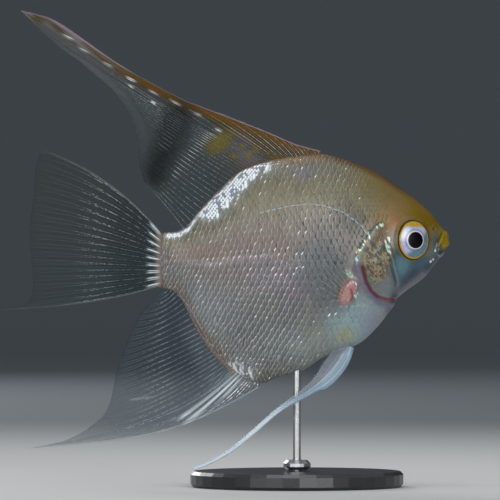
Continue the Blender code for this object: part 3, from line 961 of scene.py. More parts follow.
@dataclass(frozen=True)
class SkinFinish:
    """Moist skin: the markings, mottled finely, with marbled gold on the gill cover."""

    mottle: float = 0.0007
    pore: float = 0.00022
    roughness: float = 0.34

    def material(self) -> Material:
        """Makes the skin's material."""
        look = Paints("skin")
        marking = look.colour("marking")
        lumps = look.noise(self.mottle, 3.0)
        shade = look.tinge(lumps.rise(0.6, 0.35) * 0.3, marking, (0.62, 0.6, 0.58))
        shade = look.tinge(lumps.rise(0.56, 0.78) * 0.2, shade, (1.5, 1.5, 1.5))
        marble = look.number("marble")
        slant = look.stretch((1.3, 1.0, 0.6), 0.35)
        swirl = look.noise(0.0014, 3.0, slant)
        gold = look.mix(swirl.rise(0.38, 0.64), "383028", "6f6046")
        for size, code in ((0.0024, "866466"), (0.0019, "5f8a85"), (0.0021, "97814c"), (0.0016, "a0977a")):
            vein = look.noise(size, 2.0, slant).off(0.5).rise(0.052, 0.02)
            vein = vein * look.noise(size * 0.6, 1.0).rise(0.48, 0.56)
            gold = look.mix(vein, gold, code)
        shade = look.mix(marble * 0.74, shade, gold)
        # Painted glints: pale, teal and gold specks where the glint field is high
        glint = look.number("glint")
        streaks = look.noise(0.00070, 2.0, look.stretch((1.0, 1.0, 0.42), 0.45))
        specks = (streaks + glint * 0.1).rise(0.62, 0.67)
        chance = look.noise(0.0016, 1.0)
        hue = look.mix(chance.rise(0.46, 0.52), "e6e3d2", "9fd2c6")
        hue = look.mix(chance.rise(0.4, 0.36), hue, "c4ab62")
        shade = look.mix(specks * glint.rise(0.1, 0.9), shade, hue)
        grain = look.noise(self.pore, 2.0) + swirl * 1.5
        return look.finish(
            Base_Color=shade, Metallic=0.15, Specular_IOR_Level=0.30, Coat_Weight=0.15, Coat_Roughness=0.20,
            Roughness=look.between(lumps, self.roughness - 0.08, self.roughness + 0.14),
            Normal=look.bump(grain, 0.00003),
        )


@dataclass(frozen=True)
class ScaleFinish:
    """Scales: pale arcs, painted lighter on their upper arms, over red-brown hearts, cool feet, and painted
    white highlights that flash strongly on a few.
    """

    rim: Colour = paint("aab3c6")
    ground: Colour = (0.60, 0.62, 0.62)
    flash: Colour = paint("f6fbff")
    roughness: float = 0.36

    def material(self) -> Material:
        """Makes the scales' material."""
        look = Paints("scales")
        along, across = look.map("Scale")
        tone = look.number("tone")
        net = look.number("net")
        band = look.number("band")
        worn = look.mix(tone, (0.86, 0.87, 0.89), (1.08, 1.07, 1.05))
        plain = look.tinge(1.0, look.colour("marking"), worn)
        marking = look.mix(net * 0.9, plain, look.tinge(1.0, plain, self.ground))
        under = across.off(0.76).rise(0.24, 0.06) * along.rise(0.48, 0.64)
        warm = look.tinge(1.0, marking, (1.45, 0.96, 0.62))
        shade = look.mix(under * net, marking, warm)
        # Pale rim, partly the scale's own silver and partly painted light: brighter on the upper arm that
        # faces light from above
        arc = across.rise(0.3, 0.75) * 0.55 + 0.45
        arc = arc * across.rise(0.0, 0.15) * along.rise(0.85, 0.92)
        rim = look.mix(0.55, look.tinge(1.0, plain, (1.9, 1.95, 2.05)), self.rim)
        shade = look.mix(arc * (net * 0.95), shade, rim)
        gleam = look.number("gleam")
        shine = tone + gleam
        # Painted highlights: a white spot near the top of each rim, faint on most scales
        spot = across.off(0.83).rise(0.12, 0.04) * along.rise(0.8, 0.88)
        faint = spot * net * shine.rise(0.3, 1.1)
        shade = look.mix(faint * 0.55, shade, self.flash)
        # Painted highlights: fine white specks where scales gleam
        painted_glitter = look.noise(0.00034, 1.0).rise(0.63, 0.68) * gleam.rise(0.06, 0.34)
        shade = look.mix(painted_glitter * 0.5, shade, self.flash)
        # Painted highlights: chosen scales flash white at the rim's spot and, in the sparkle band, in
        # streaks, with the band's ground darkened between them
        chosen = shine.rise(0.94, 0.99)
        bar = along.off(0.76).rise(0.26, 0.15)
        streak = across.off(0.5).rise(0.4, 0.27) * bar
        shade = look.mix(band * 0.55, shade, look.tinge(1.0, marking, (0.4, 0.48, 0.58)))
        flash = look.maths("MAXIMUM", spot, streak * band.rise(0.25, 0.6))
        shade = look.mix(chosen * flash, shade, self.flash)
        grain = look.noise(0.00016, 2.0)
        return look.finish(
            Base_Color=shade, Metallic=0.15, Specular_IOR_Level=0.30, Coat_Weight=0.12, Coat_Roughness=0.20,
            Roughness=look.between(grain, self.roughness - 0.08, self.roughness + 0.12),
            Normal=look.bump(grain, 0.000015),
        )


@dataclass(frozen=True)
class WebFinish:
    """The clear web of a fin, tinted and clouded by its fields and ribbed by its rays."""

    roughness: float = 0.50

    def material(self) -> Material:
        """Makes the web's material."""
        look = Paints("fin_web")
        count, run = look.map("Fin")
        near = look.maths("FRACT", count).off(0.5)
        twigs = look.maths("FRACT", count * 4.0)
        fine = twigs.off(0.5).rise(0.2, 0.5)
        rib = look.between(run.rise(0.35, 0.7), near.rise(0.3, 0.5), fine * 0.3)
        cloud = look.noise(0.0011, 2.0)
        shade = look.mix(rib * 0.12, look.colour("tint"), "9fb0b4")
        shade = look.tinge(cloud * 0.3, shade, (0.7, 0.7, 0.7))
        cover = look.number("cover") * look.between(cloud, 0.9, 1.08) * look.between(rib, 0.85, 1.35)
        cover = look.maths("MINIMUM", cover, 1.0)
        return look.finish(
            Base_Color=shade, Roughness=self.roughness, Alpha=cover, Specular_IOR_Level=0.05,
            Normal=look.bump(cloud, 0.00004),
        )


@dataclass(frozen=True)
class BladeFinish:
    """The pelvic blades: tinted and covered by their fields, with a faint cloud."""

    def material(self) -> Material:
        """Makes the blades' material."""
        look = Paints("filament")
        cloud = look.noise(0.0009, 3.0)
        shade = look.tinge(cloud * 0.45, look.colour("tint"), (0.55, 0.6, 0.66))
        return look.finish(
            Base_Color=shade, Roughness=0.34, Alpha=look.number("cover"), Coat_Weight=0.3,
            Coat_Roughness=0.2, Normal=look.bump(cloud, 0.00004),
        )


@dataclass(frozen=True)
class RayFinish:
    """Fin rays: jointed and dashed with white; lengths in millimetres along the ray."""

    dash: float = 0.55
    joint: float = 0.45
    spread: float = 37.0
    roughness: float = 0.30

    def material(self) -> Material:
        """Makes the rays' material."""
        look = Paints("fin_ray")
        run, chance = look.map("Ray")
        spot = look.join(run / self.dash, chance * self.spread)
        dash = look.noise(1.0, 1.0, spot).rise(0.46, 0.6) * look.number("dash")
        joints = look.maths("FRACT", run / self.joint).off(0.5).rise(0.4, 0.48)
        shade = look.mix(dash, look.colour("tint"), "f3f6f8")
        shade = look.tinge(joints * 0.35, shade, (0.45, 0.45, 0.45))
        cover = look.maths("MINIMUM", look.number("cover") + dash, 1.0)
        return look.finish(Base_Color=shade, Roughness=self.roughness, Alpha=cover, Specular_IOR_Level=0.20)


@dataclass(frozen=True)
class EyeFinish:
    """The eye: black pupil, pale ring, silver-lilac iris and golden rim under a clear gloss."""

    pupil_long: float = 0.428
    pupil_tall: float = 0.390
    shift: float = 0.01
    lid_long: float = 0.87
    lid_tall: float = 0.92

    def material(self) -> Material:
        """Makes the eye's material, drawn on the map of its face."""
        look = Paints("eye")
        ahead, over = look.map("Face")
        x = ahead - 0.5 - self.shift / 2
        y = over - 0.5
        pupil = look.length(x * 2.0 / self.pupil_long, y * 2.0 / self.pupil_tall)
        whole = look.length((ahead - 0.5) * (2.0 / self.lid_long), y * (2.0 / self.lid_tall))
        fibre = look.noise(0.00035, 3.0)
        iris = look.mix(fibre, "7c84ae", "cdd0e8")
        # Painted highlight: a pale patch on the upper rear of the iris
        pale = x.rise(-0.1, -0.22) * y.off(0.16).rise(0.22, 0.06)
        iris = look.mix(pale * 0.6, iris, "eef0fa")
        iris = look.mix((x - y).rise(0.04, 0.24), iris, "5f7c8a")
        iris = look.mix(look.noise(0.0007, 2.0).rise(0.58, 0.74) * 0.6, iris, "8fbccb")
        gold = look.mix(fibre, "6e5012", "dcb93e")
        top = (y + look.noise(0.0012) * 0.1).rise(0.34, 0.41)
        edge = (whole + fibre * 0.04).rise(0.94, 0.962)
        iris = look.mix(look.maths("MAXIMUM", top, edge), iris, gold)
        iris = look.mix(whole.rise(0.99, 1.02), iris, "33250c")
        ring = pupil.rise(1.02, 1.07) * pupil.rise(1.22, 1.13)
        iris = look.mix(ring * 0.8, iris, "e0ccd4")
        line = pupil.rise(1.18, 1.26) * pupil.rise(1.52, 1.36)
        iris = look.mix(line * 0.55, iris, "5f7080")
        shade = look.mix(pupil.rise(1.07, 1.0), iris, "020203")
        return look.finish(
            Base_Color=shade, Roughness=0.35, Metallic=0.10, Specular_IOR_Level=0.15, Coat_Weight=0.15,
            Coat_Roughness=0.05, Coat_IOR=1.33, Normal=look.bump(fibre, 0.00002),
        )


@dataclass(frozen=True)
class RimFinish:
    """The golden fold round the eye."""

    def material(self) -> Material:
        """Makes the fold's material."""
        look = Paints("eye_fold")
        lumps = look.noise(0.0008, 3.0)
        shade = look.mix(lumps.rise(0.35, 0.65), "4e3f12", "97842f")
        shade = look.mix(look.noise(0.0006, 2.0).rise(0.64, 0.76), shade, "c3c6ae")
        return look.finish(
            Base_Color=shade, Roughness=0.30, Metallic=0.35, Coat_Weight=0.5, Coat_Roughness=0.15,
            Normal=look.bump(lumps, 0.00005),
        )


@dataclass(frozen=True)
class EnamelFinish:
    """Satin black enamel on the stand's base, with fine orange peel and a cloudy gloss."""

    def material(self) -> Material:
        """Makes the enamel's material."""
        look = Paints("base_black")
        peel = look.noise(0.0011, 2.0)
        cloud = look.noise(0.012, 3.0)
        shade = look.mix(cloud, "17181a", "26282b")
        return look.finish(
            Base_Color=shade, Roughness=look.between(cloud, 0.30, 0.44), Coat_Weight=0.4,
            Coat_Roughness=0.25, Normal=look.bump(peel, 0.00003),
        )


@dataclass(frozen=True)
class SteelFinish:
    """Brushed steel on the stand's rod and collar."""

    def material(self) -> Material:
        """Makes the steel's material, brushed round the rod."""
        look = Paints("stand_steel")
        brushed = look.noise(0.0012, 3.0, look.stretch((0.15, 0.15, 12.0)))
        shade = look.mix(brushed, "9a9b9d", "c9cacb")
        return look.finish(
            Base_Color=shade, Roughness=look.between(brushed, 0.22, 0.40), Metallic=1.0,
            Normal=look.bump(brushed, 0.00001),
        )


@dataclass
class Skin:
    """One skin from the snout to the root of the tail fin."""

    form: Form
    relief: Relief
    markings: Markings
    sides: int = 272
    rings: int = 350
    crowding: Line = (
        (0.0, 0.0), (0.025, 0.0015), (0.08, 0.014), (0.16, 0.052), (0.62, 0.40), (0.93, 0.955), (1.0, 1.0)
    )

    def build(self) -> bpy.types.Object:
        """Shapes a ball into the body, raises its relief and dresses it."""
        form = self.form
        bm = ball_mesh(self.sides, self.rings)
        ball = vertex_array(bm)
        ring = np.arccos(np.clip(ball[:, 2], -1.0, 1.0)) / math.pi * self.rings
        aft = Curve(self.crowding)(np.minimum(1.0, ring / (self.rings - 1)))
        turn = np.arctan2(ball[:, 1], ball[:, 0])
        share = 1 - np.abs(turn) / (math.pi / 2)
        tip = (ring < 0.5) | (ring > self.rings - 0.5)
        share = np.where(tip, 0.0, share)
        above, below = (np.interp(aft, form.slices, form.total[up]) for up in (True, False))
        way = share * np.where(share > 0, above, below) * 0.99999
        points, rise = np.zeros(ball.shape), np.zeros(aft.shape)
        for side in Side:
            mine = (turn < 0) == (side is Side.RIGHT)
            points[mine], rise[mine], _ = form.wrap(aft[mine], way[mine], side.value)
        points[(np.abs(share) > 0.99999) | tip, 1] = 0.0
        move_to(bm, points)
        close_outwards(bm)
        bm.normal_update()
        outwards = np.array([vert.normal[:] for vert in bm.verts])
        height = self.relief.height(aft, rise)
        thin = smooth(form.flank(aft, rise), 0.0002, 0.0014)
        sunk = np.where(height < -0.0002, height * thin, height)
        move_to(bm, points + outwards * sunk[:, None])
        mesh = finished(bm, "skin")
        write_fields(mesh, {
            "marking": self.markings.colour(aft, rise),
            "marble": self.markings.marble(aft, rise),
            "glint": self.markings.glint(aft, rise),
        })
        nodes = ("head", "lower_jaw", "gill_cover_left", "gill_cover_right", "trunk", "tail_stalk")
        return add_piece(mesh, SkinFinish().material(), nodes)


@dataclass(frozen=True)
class Lay:
    """One kind of scale: its spacing and how far its edge stands up in metres, and its taper."""

    name: str
    along: float
    across: float
    lift: float
    net: float
    taper: float
    taper_from: float = 0.45
    taper_long: float = 0.45

    def narrowed(self, aft: Array) -> Array:
        """Gives the share of their full size that scales keep, less towards the tail."""
        return 1 - self.taper * np.clip((aft - self.taper_from) / self.taper_long, 0.0, 1.0)

    def drawn(self, run: Array, ease: float = 0.53) -> Array:
        """Draws even steps together towards the tail; they reach their full taper over `ease`."""
        tail = np.maximum(run - self.taper_from, 0.0)
        eased = np.minimum(tail, ease) ** 2 / (2 * ease) + np.maximum(tail - ease, 0.0)
        return run - self.taper * eased


@dataclass
class ScaleCoat:
    """The coat of scales: solid shields that overlap towards the tail."""

    form: Form
    relief: Relief
    markings: Markings
    look: Material = field(init=False)
    thickness: float = 0.000035
    sunk: float = 0.00004
    crown: float = 0.00003
    tilt: float = 0.00001
    jitter: float = 0.030
    swing: float = 0.05
    border: float = 0.035
    front_border: float = 0.012
    patch: float = 0.003
    bake_edge: float = 0.02
    bake_long: float = 0.46
    bake_tall: float = 0.85
    brilliant: float = 0.45
    flank: Lay = Lay("flank_scales", 0.00160, 0.00186, 0.00012, 1.0, 0.28)
    small: Lay = Lay("small_scales", 0.00118, 0.00132, 0.00010, 0.90, 0.15)
    fine: Lay = Lay("fine_scales", 0.00082, 0.00056, 0.00006, 0.60, 0.0)
    narrowing: float = 0.10
    overlap: float = 1.38
    rounding: float = 0.66
    breadth: float = 1.10
    start: Line = (
        (-0.40, 0.36), (-0.30, 0.30), (-0.21, 0.255), (-0.185, 0.335), (-0.15, 0.388), (-0.10, 0.398),
        (-0.05, 0.375), (0.0, 0.345), (0.05, 0.318), (0.085, 0.285), (0.12, 0.225), (0.20, 0.235),
        (0.32, 0.30),
    )
    front: Curve = field(init=False)

    def __post_init__(self) -> None:
        """Makes the material and the line where the coat starts behind the head."""
        self.look = ScaleFinish().material()
        self.front = Curve(self.start)

    def shield(self) -> Stencil:
        """Makes one scale on its own square: x from root to edge, y across, z through it."""
        bm = slab(3, 4)
        rows = {-0.5: 0.0, 0.5: 1.0}
        for vert in bm.verts:
            vert.co.x = rows.get(round(vert.co.x, 3), 0.5 if vert.co.x < 0 else 0.90)
            vert.co.y *= 2
        close_outwards(bm)
        return Stencil.cut(bm)

    def lattice(self, lay: Lay) -> tuple[Array, Array]:
        """Spreads roots in rows, every other one moved half a step.

        Args:
            lay: The kind of scale.

        Returns:
            The places behind the snout and the ways round the section.
        """
        along, across = lay.along / self.form.length, lay.across / self.form.length
        rows = np.arange(-int(0.72 / across), int(0.60 / across))
        steps = np.arange(0, int(1.25 / along))
        run = (steps[None, :] + 0.5 * (rows[:, None] % 2)) * along
        aft = lay.drawn(run)
        level = rows * across
        level = level * (1 - self.narrowing * np.minimum(1.0, (level / 0.40) ** 2))
        way = level[:, None] * lay.narrowed(aft)
        return aft.ravel(), way.ravel()

    def cover(self, lay: Lay, side: Side, aft: Array, way: Array, turn: Array, number: int) -> None:
        """Lays one kind of scale at the given roots on one flank.

        Args:
            lay: The kind of scale.
            side: The flank.
            aft: The roots' places behind the snout.
            way: The roots' ways round the section.
            turn: How far each scale points upwards from the tail, in radians.
            number: A seed for the small differences between scales.
        """
        chance = np.random.default_rng(SEED + number)
        shape = self.shield()
        s, v, layer = shape.points.T
        pitch, row, count = lay.along / self.form.length, lay.across / self.form.length, len(aft)
        ahead = s * pitch * (self.overlap - self.rounding * np.abs(v) ** 2.4)
        beside = v * row * self.breadth * (0.88 + 0.12 * smooth(s, 0.0, 0.5))
        aft = aft + chance.normal(0.0, self.jitter * pitch, count)
        way = way + chance.normal(0.0, self.jitter * row, count)
        swing = turn + chance.normal(0.0, self.swing, count)
        size = (chance.uniform(0.97, 1.05, count) * lay.narrowed(aft))[:, None]
        cosine, sine = np.cos(swing)[:, None] * size, np.sin(swing)[:, None] * size
        far = (aft[:, None] + ahead * cosine - beside * sine).ravel()
        ways = (way[:, None] + ahead * sine + beside * cosine).ravel()
        points, rise, _ = self.form.wrap(far, ways, side.value)
        outwards = self.form.outwards(far, ways, side.value)
        grown_in = smooth(aft - self.front(self.form.wrap(aft, way, side.value)[1]), 0.0, 0.06)
        lift = lay.lift * chance.uniform(0.75, 1.20, count) * (0.45 + 0.55 * grown_in)
        high = lift[:, None] * ahead / (self.overlap * pitch) - self.sunk + self.crown * (1 - v**2)
        high = high - self.thickness * (1 - layer) + v * chance.normal(0.0, self.tilt, count)[:, None]
        points = points + outwards * (high.ravel() + self.relief.height(far, rise))[:, None]
        mesh = shape.repeat(f"{lay.name}_{side.label}", points.reshape(count, len(s), 3))
        band = self.markings.sparkle(far, rise)
        write_fields(mesh, {
            "marking": self.markings.colour(far, rise),
            "tone": np.repeat(0.5 + (chance.uniform(0.0, 1.0, count) - 0.5) * grown_in, len(s)),
            "gleam": 0.66 * band + self.gleam(far, rise),
            "band": band,
            "net": lay.net * self.net(far, rise) * np.repeat(0.25 + 0.75 * grown_in, len(s)),
        })
        write_map(mesh, "OFBake", self.unwrap(aft, way, side, s, v))
        write_map(mesh, "Scale", np.tile(np.stack([s, 0.5 + 0.5 * v], axis=-1), (count, 1)))
        add_piece(mesh, self.look)

    def unwrap(self, aft: Array, way: Array, side: Side, s: Array, v: Array) -> Array:
        """Places each scale as a small patch at its root on the unrolled flank."""
        left = self.bake_edge + (0.5 if side is Side.LEFT else 0.0)
        across, upward = left + self.bake_long * aft, 0.5 + self.bake_tall * way
        u = across[:, None] + self.patch * (s[None, :] - 0.5)
        w = upward[:, None] + self.patch * 0.5 * v[None, :]
        return np.stack([u.ravel(), w.ravel()], axis=-1)

    def gleam(self, aft: Array, rise: Array) -> Array:
        """Gives where more scales flash: the bright row, the lower flank and the stalk."""
        parts = (
            (0.30, Stroke(BRIGHT_ROW, 0.014, fade=0.1)),
            (0.26, Stroke(LOW_FLANK, 0.050, fade=0.2)),
            (0.16, Stroke(((0.93, 0.010), (0.84, 0.010), (0.78, 0.055), (0.70, 0.12)), 0.020, fade=0.1)),
            (0.22, Stroke(((0.70, 0.235), (0.58, 0.285), (0.50, 0.290)), 0.030, fade=0.1)),
            (0.30, Stroke(((0.66, -0.42), (0.74, -0.37), (0.80, -0.30)), 0.035, fade=0.2)),
            (0.10, Patch(0.45, -0.30, 0.16, 0.06, turn=20, soft=0.8)),
        )
        return added(parts, aft, rise) + 0.18 * smooth(aft, 0.88, 0.97)

    def net(self, aft: Array, rise: Array) -> Array:
        """Gives how strongly the scales' rims and hearts show."""
        nape = 1 - 0.55 * smooth(aft + 0.4 * (rise - 0.10), 0.46, 0.30)
        breast = 1 - 0.85 * Patch(0.37, -0.22, 0.13, 0.13, soft=0.6).weight(aft, rise)
        behind = 1 - 0.80 * Patch(0.445, -0.085, 0.090, 0.130, turn=-20, soft=0.6).weight(aft, rise)
        upper = 1 - 0.45 * smooth(rise, 0.10, 0.17)
        return nape * breast * behind * upper

    def belongs(self, lay: Lay, aft: Array, way: Array, side: Side) -> Array:
        """Tells which roots one kind of scale takes: large, then small along the borders, then fine.

        Args:
            lay: The kind of scale.
            aft: The roots' places behind the snout.
            way: The roots' ways round the section.
            side: The flank.

        Returns:
            True where the kind of scale grows.
        """
        _, rise, left = self.form.wrap(aft, way, side.value)
        ahead = aft - self.front(rise)
        kept = (ahead > -0.01) & (left > 0.004) & (aft < 0.977)
        kept &= PECTORAL_BASE.weight(aft, rise) < 0.3
        # Small scales reach further in at the nape and on the lower rear flank
        nape = 0.085 * smooth(rise, 0.02, 0.10)
        low = 0.085 * smooth(aft, 0.52, 0.66) * smooth(way, 0.02, -0.10)
        inside, behind = left - self.border - low, ahead - self.front_border - nape
        room = np.min([inside, behind, 0.962 - aft], axis=0)
        glitter = self.markings.sparkle(aft, rise)
        if lay is self.flank:
            return kept & (room > 0) & (glitter < self.brilliant)
        if lay is self.small:
            return kept & (room < self.front_border) & (glitter < self.brilliant)
        return kept & (glitter > self.brilliant - 0.15)

    def build(self) -> None:
        """Lays the three kinds of scale on both flanks."""
        for side in Side:
            for number, lay in enumerate((self.flank, self.small, self.fine), 1):
                aft, way = self.lattice(lay)
                mine = self.belongs(lay, aft, way, side)
                aft, way = aft[mine], way[mine]
                left = self.form.wrap(aft, way, side.value)[2]
                self.cover(lay, side, aft, way, self.lie(lay, aft, way, left), number)

    def lie(self, lay: Lay, aft: Array, way: Array, left: Array) -> Array:
        """Gives how far scales turn from straight aft: along their row, and outwards at the fins."""
        row = -way / lay.narrowed(aft) * lay.taper / lay.taper_long * smooth(aft, 0.43, 0.48)
        fan = smooth(left, 0.10, 0.0) * smooth(aft, 0.45, 0.65) * smooth(aft, 0.97, 0.88)
        return row * (1 - fan) + np.where(way > 0, 0.65, -0.55) * fan


@dataclass
class LateralLine:
    """The lateral line: a row of short raised tubes on the upper flank."""

    form: Form
    relief: Relief
    markings: Markings
    spacing: float = 0.0016
    half_long: float = 0.00072
    half_wide: float = 0.00014
    lift: float = 0.00016

    def build(self, look: Material) -> None:
        """Lays the tubes on both flanks.

        Args:
            look: The skin's material.
        """
        path = np.array(LATERAL_LINE)
        steps = np.hypot(*np.diff(path, axis=0).T)
        run = np.concatenate([[0.0], np.cumsum(steps)])
        places = np.arange(0.004, run[-1], self.spacing / self.form.length)
        aft, rise = (np.interp(places, run, path[:, k])[:, None] for k in (0, 1))
        slope = np.arctan2(np.gradient(rise[:, 0]), np.gradient(aft[:, 0]))[:, None]
        bm = ball_mesh(8, 8)
        bmesh.ops.rotate(bm, matrix=Euler((0, math.pi / 2, 0)).to_matrix(), verts=bm.verts)
        tube = Stencil.cut(bm)
        along = tube.points[:, 0] * self.half_long / self.form.length
        across = tube.points[:, 1] * self.half_wide / self.form.length
        far = aft + along * np.cos(slope) - across * np.sin(slope)
        high = rise + along * np.sin(slope) + across * np.cos(slope)
        out = self.form.flank(far, high) + self.relief.height(far, high)
        out = out + self.lift + tube.points[:, 2] * self.half_wide
        none = np.zeros(far.size)
        pale = Layers("b2bec4", none, none).colour * self.markings.depth
        for side in Side:
            points = self.form.place(far, high, side.value * out)
            mesh = tube.repeat(f"lateral_line_{side.label}", points)
            write_fields(mesh, {"marking": pale, "marble": none, "glint": none})
            add_piece(mesh, look)


# Fins. Roots run along the body, and rays end on the outer edge. Each point of an edge or a bend
# is (share of the way along the root, aft, rise); a ray is a curve drawn towards its bend point.
RIB_START = 20  # Added to the count of ribs, so that it is never negative
DORSAL_ROOT = (0.430, 0.902)
DORSAL_EDGE = (
    (0.0, 0.445, 0.336), (0.10, 0.527, 0.358), (0.20, 0.634, 0.403), (0.267, 0.791, 0.463),
    (0.30, 0.906, 0.505), (0.333, 1.120, 0.618), (0.367, 1.373, 0.782), (0.40, 1.470, 0.806),
    (0.43, 1.385, 0.722), (0.50, 1.236, 0.607), (0.58, 1.158, 0.540), (0.68, 1.103, 0.465),
    (0.78, 1.074, 0.388), (0.90, 1.064, 0.295), (1.0, 1.048, 0.232),
)
DORSAL_BEND = ((0.0, 0.440, 0.329), (0.20, 0.580, 0.368), (0.30, 0.750, 0.425), (0.333, 0.840, 0.434),
               (0.367, 0.930, 0.440), (0.40, 1.020, 0.485), (1.0, 0.975, 0.158))
ANAL_ROOT = (0.648, 0.958)
ANAL_EDGE = (
    (0.0, 0.655, -0.465), (0.05, 0.733, -0.509), (0.1, 0.829, -0.556), (0.14, 0.925, -0.594),
    (0.18, 1.04, -0.624), (0.215, 1.19, -0.645), (0.25, 1.445, -0.665), (0.285, 1.32, -0.64),
    (0.34, 1.235, -0.596), (0.41, 1.182, -0.55), (0.5, 1.158, -0.492), (0.62, 1.143, -0.414),
    (0.75, 1.11, -0.32), (0.88, 1.06, -0.217), (1.0, 0.99, -0.14),
)
ANAL_BEND = ((0.0, 0.650, -0.455), (0.12, 0.765, -0.520), (0.25, 0.960, -0.612), (0.34, 1.010, -0.552),
             (0.60, 1.010, -0.384), (1.0, 0.970, -0.148))
TAIL_ROOT = ((0.0, 0.985, 0.051), (1.0, 0.985, -0.118))
TAIL_EDGE = (
    (0.0, 1.401, 0.341), (0.1, 1.418, 0.27), (0.25, 1.424, 0.177), (0.45, 1.437, 0.059),
    (0.65, 1.43, -0.044), (0.8, 1.425, -0.118), (0.92, 1.447, -0.181), (1.0, 1.545, -0.2),
)
TAIL_BEND = ((0.0, 1.16, 0.266), (0.5, 1.215, 0.02), (1.0, 1.216, -0.194))
PECTORAL_ROOT = ((0.0, 0.354, -0.104), (1.0, 0.386, -0.179))
PECTORAL_EDGE = (
    (0.0, 0.426, 0.049), (0.22, 0.477, 0.055), (0.45, 0.523, 0.025),
    (0.65, 0.541, -0.03), (0.85, 0.528, -0.093), (1.0, 0.485, -0.144),
)
PECTORAL_BEND = ((0.0, 0.39, -0.033), (0.5, 0.449, -0.074), (1.0, 0.439, -0.167))
PELVIC_LINE = (
    (0.0, 0.346, -0.325), (0.08, 0.363, -0.366), (0.2, 0.409, -0.423), (0.34, 0.489, -0.479),
    (0.48, 0.581, -0.528), (0.63, 0.682, -0.611), (0.78, 0.763, -0.677), (0.92, 0.848, -0.722),
    (1.0, 0.885, -0.735),
)
PELVIC_FRONT = ((0.0, 0.016), (0.14, 0.020), (0.26, 0.022), (0.31, 0.012), (0.50, 0.008), (1.0, 0.0045))
PELVIC_REAR = (
    (0.0, 0.012), (0.08, 0.055), (0.19, 0.052), (0.30, 0.030), (0.40, 0.019), (0.50, 0.007), (1.0, 0.0045)
)
# How far a pelvic fin stands off the middle plane, and how far the left one leads for that
PELVIC_SPREAD = ((0.0, 0.018), (0.25, 0.042), (0.60, 0.062), (1.0, 0.050))
PELVIC_LEAD = 0.353

Where = Callable[[Array, Array], Array]
Across = Callable[[Array], Array]
Dressed = tuple[Array, Array, Array]
Dress = Callable[[Array, Array, Array, Array], Dressed]
PECTORAL_LINES = (Trace(PECTORAL_ROOT), Trace(PECTORAL_BEND), Trace(PECTORAL_EDGE))


@dataclass(frozen=True)
class Looks:
    """The materials that the fins and the eyes share."""

    web: Material
    ray: Material
    blade: Material
    ball: Material
    fold: Material


def bezier(root: Array, bend: Array, edge: Array, s: Array) -> Array:
    """Gives the point at share s of the curve from root to edge that bend draws."""
    s = s[:, None]
    return root * (1 - s) ** 2 + bend * 2 * s * (1 - s) + edge * s * s


@dataclass
class Strands:
    """Fin rays as tapered strands laid on a fin's surface and joined into one mesh."""

    starts: list[tuple[float, float, float, float, float, float]] = field(default_factory=list)
    sides: int = 6
    rings: int = 14

    def add(self, t: tuple[float, float], s: tuple[float, float], radius: tuple[float, float]) -> None:
        """Adds a strand from one place on the fin to another, with its radius at both ends."""
        self.starts.append((*t, *s, *radius))

    def branching(self, middle: float, spacing: float, tip: float, radius: float) -> None:
        """Adds a soft ray that forks into two, and each of those into two again.

        Args:
            middle: The ray's share of the way along the root.
            spacing: The share between rays.
            tip: The share of the ray's length at which it ends.
            radius: The radius at its root.
        """
        self.add((middle, middle), (0.0, 0.36), (radius, radius * 0.80))
        for fork in (-1, 1):
            spread = middle + fork * 0.20 * spacing
            self.add((middle, spread), (0.33, 0.74), (radius * 0.62, radius * 0.52))
            for twig in (-1, 1):
                end = spread + twig * 0.12 * spacing
                self.add((spread, end), (0.71, tip), (radius * 0.44, radius * 0.26))

    def build(self, name: str, where: Where, outwards: Across, dress: Dress) -> Mesh:
        """Lays the strands on the fin.

        Args:
            name: The mesh's name.
            where: Gives the fin's middle surface.
            outwards: Gives unit vectors across the fin's surface for a set of points.
            dress: Gives each place its tint, cover and dashes.

        Returns:
            The joined mesh.
        """
        shape = Stencil.cut(ball_mesh(self.sides, self.rings))
        share = np.arccos(np.clip(shape.points[:, 2], -1, 1)) / math.pi
        angle = np.arctan2(shape.points[:, 1], shape.points[:, 0])
        ends = np.array(self.starts)
        count, size = len(ends), len(share)

        def spread(column: int) -> Array:
            """Mixes a strand's two end values over its length."""
            return (ends[:, column, None] * (1 - share) + ends[:, column + 1, None] * share).ravel()

        t, s, radius = spread(0), spread(2), spread(4)
        radius = radius * np.tile(np.sin(np.clip(share, 0.0, 1.0) * math.pi) ** 0.25, count)
        centre = where(t, s)
        ahead = unit(where(t, s + STEP) - where(t, s - STEP))
        out = outwards(centre)
        beside = unit(np.cross(out, ahead))
        angles = np.tile(angle, count)[:, None]
        points = centre + radius[:, None] * (np.cos(angles) * beside + np.sin(angles) * out)
        mesh = shape.repeat(name, points.reshape(count, size, 3))
        tint, cover, dash = dress(t, s, centre, np.ones(t.shape))
        cover, dash = np.clip(cover, 0.0, 1.0), np.clip(dash, 0.0, 1.0)
        write_fields(mesh, {"tint": tint, "cover": cover, "dash": dash})
        begin, end = where(ends[:, 0], ends[:, 2]), where(ends[:, 1], ends[:, 3])
        length = np.linalg.norm(end - begin, axis=-1)
        before = np.linalg.norm(begin - where(ends[:, 0], 0 * ends[:, 2]), axis=-1)
        run = (before[:, None] + length[:, None] * share) * 1000
        chance = np.repeat(np.random.default_rng(SEED).uniform(0, 1, count), size)
        write_map(mesh, "Ray", np.stack([run.ravel(), chance], axis=-1))
        return mesh


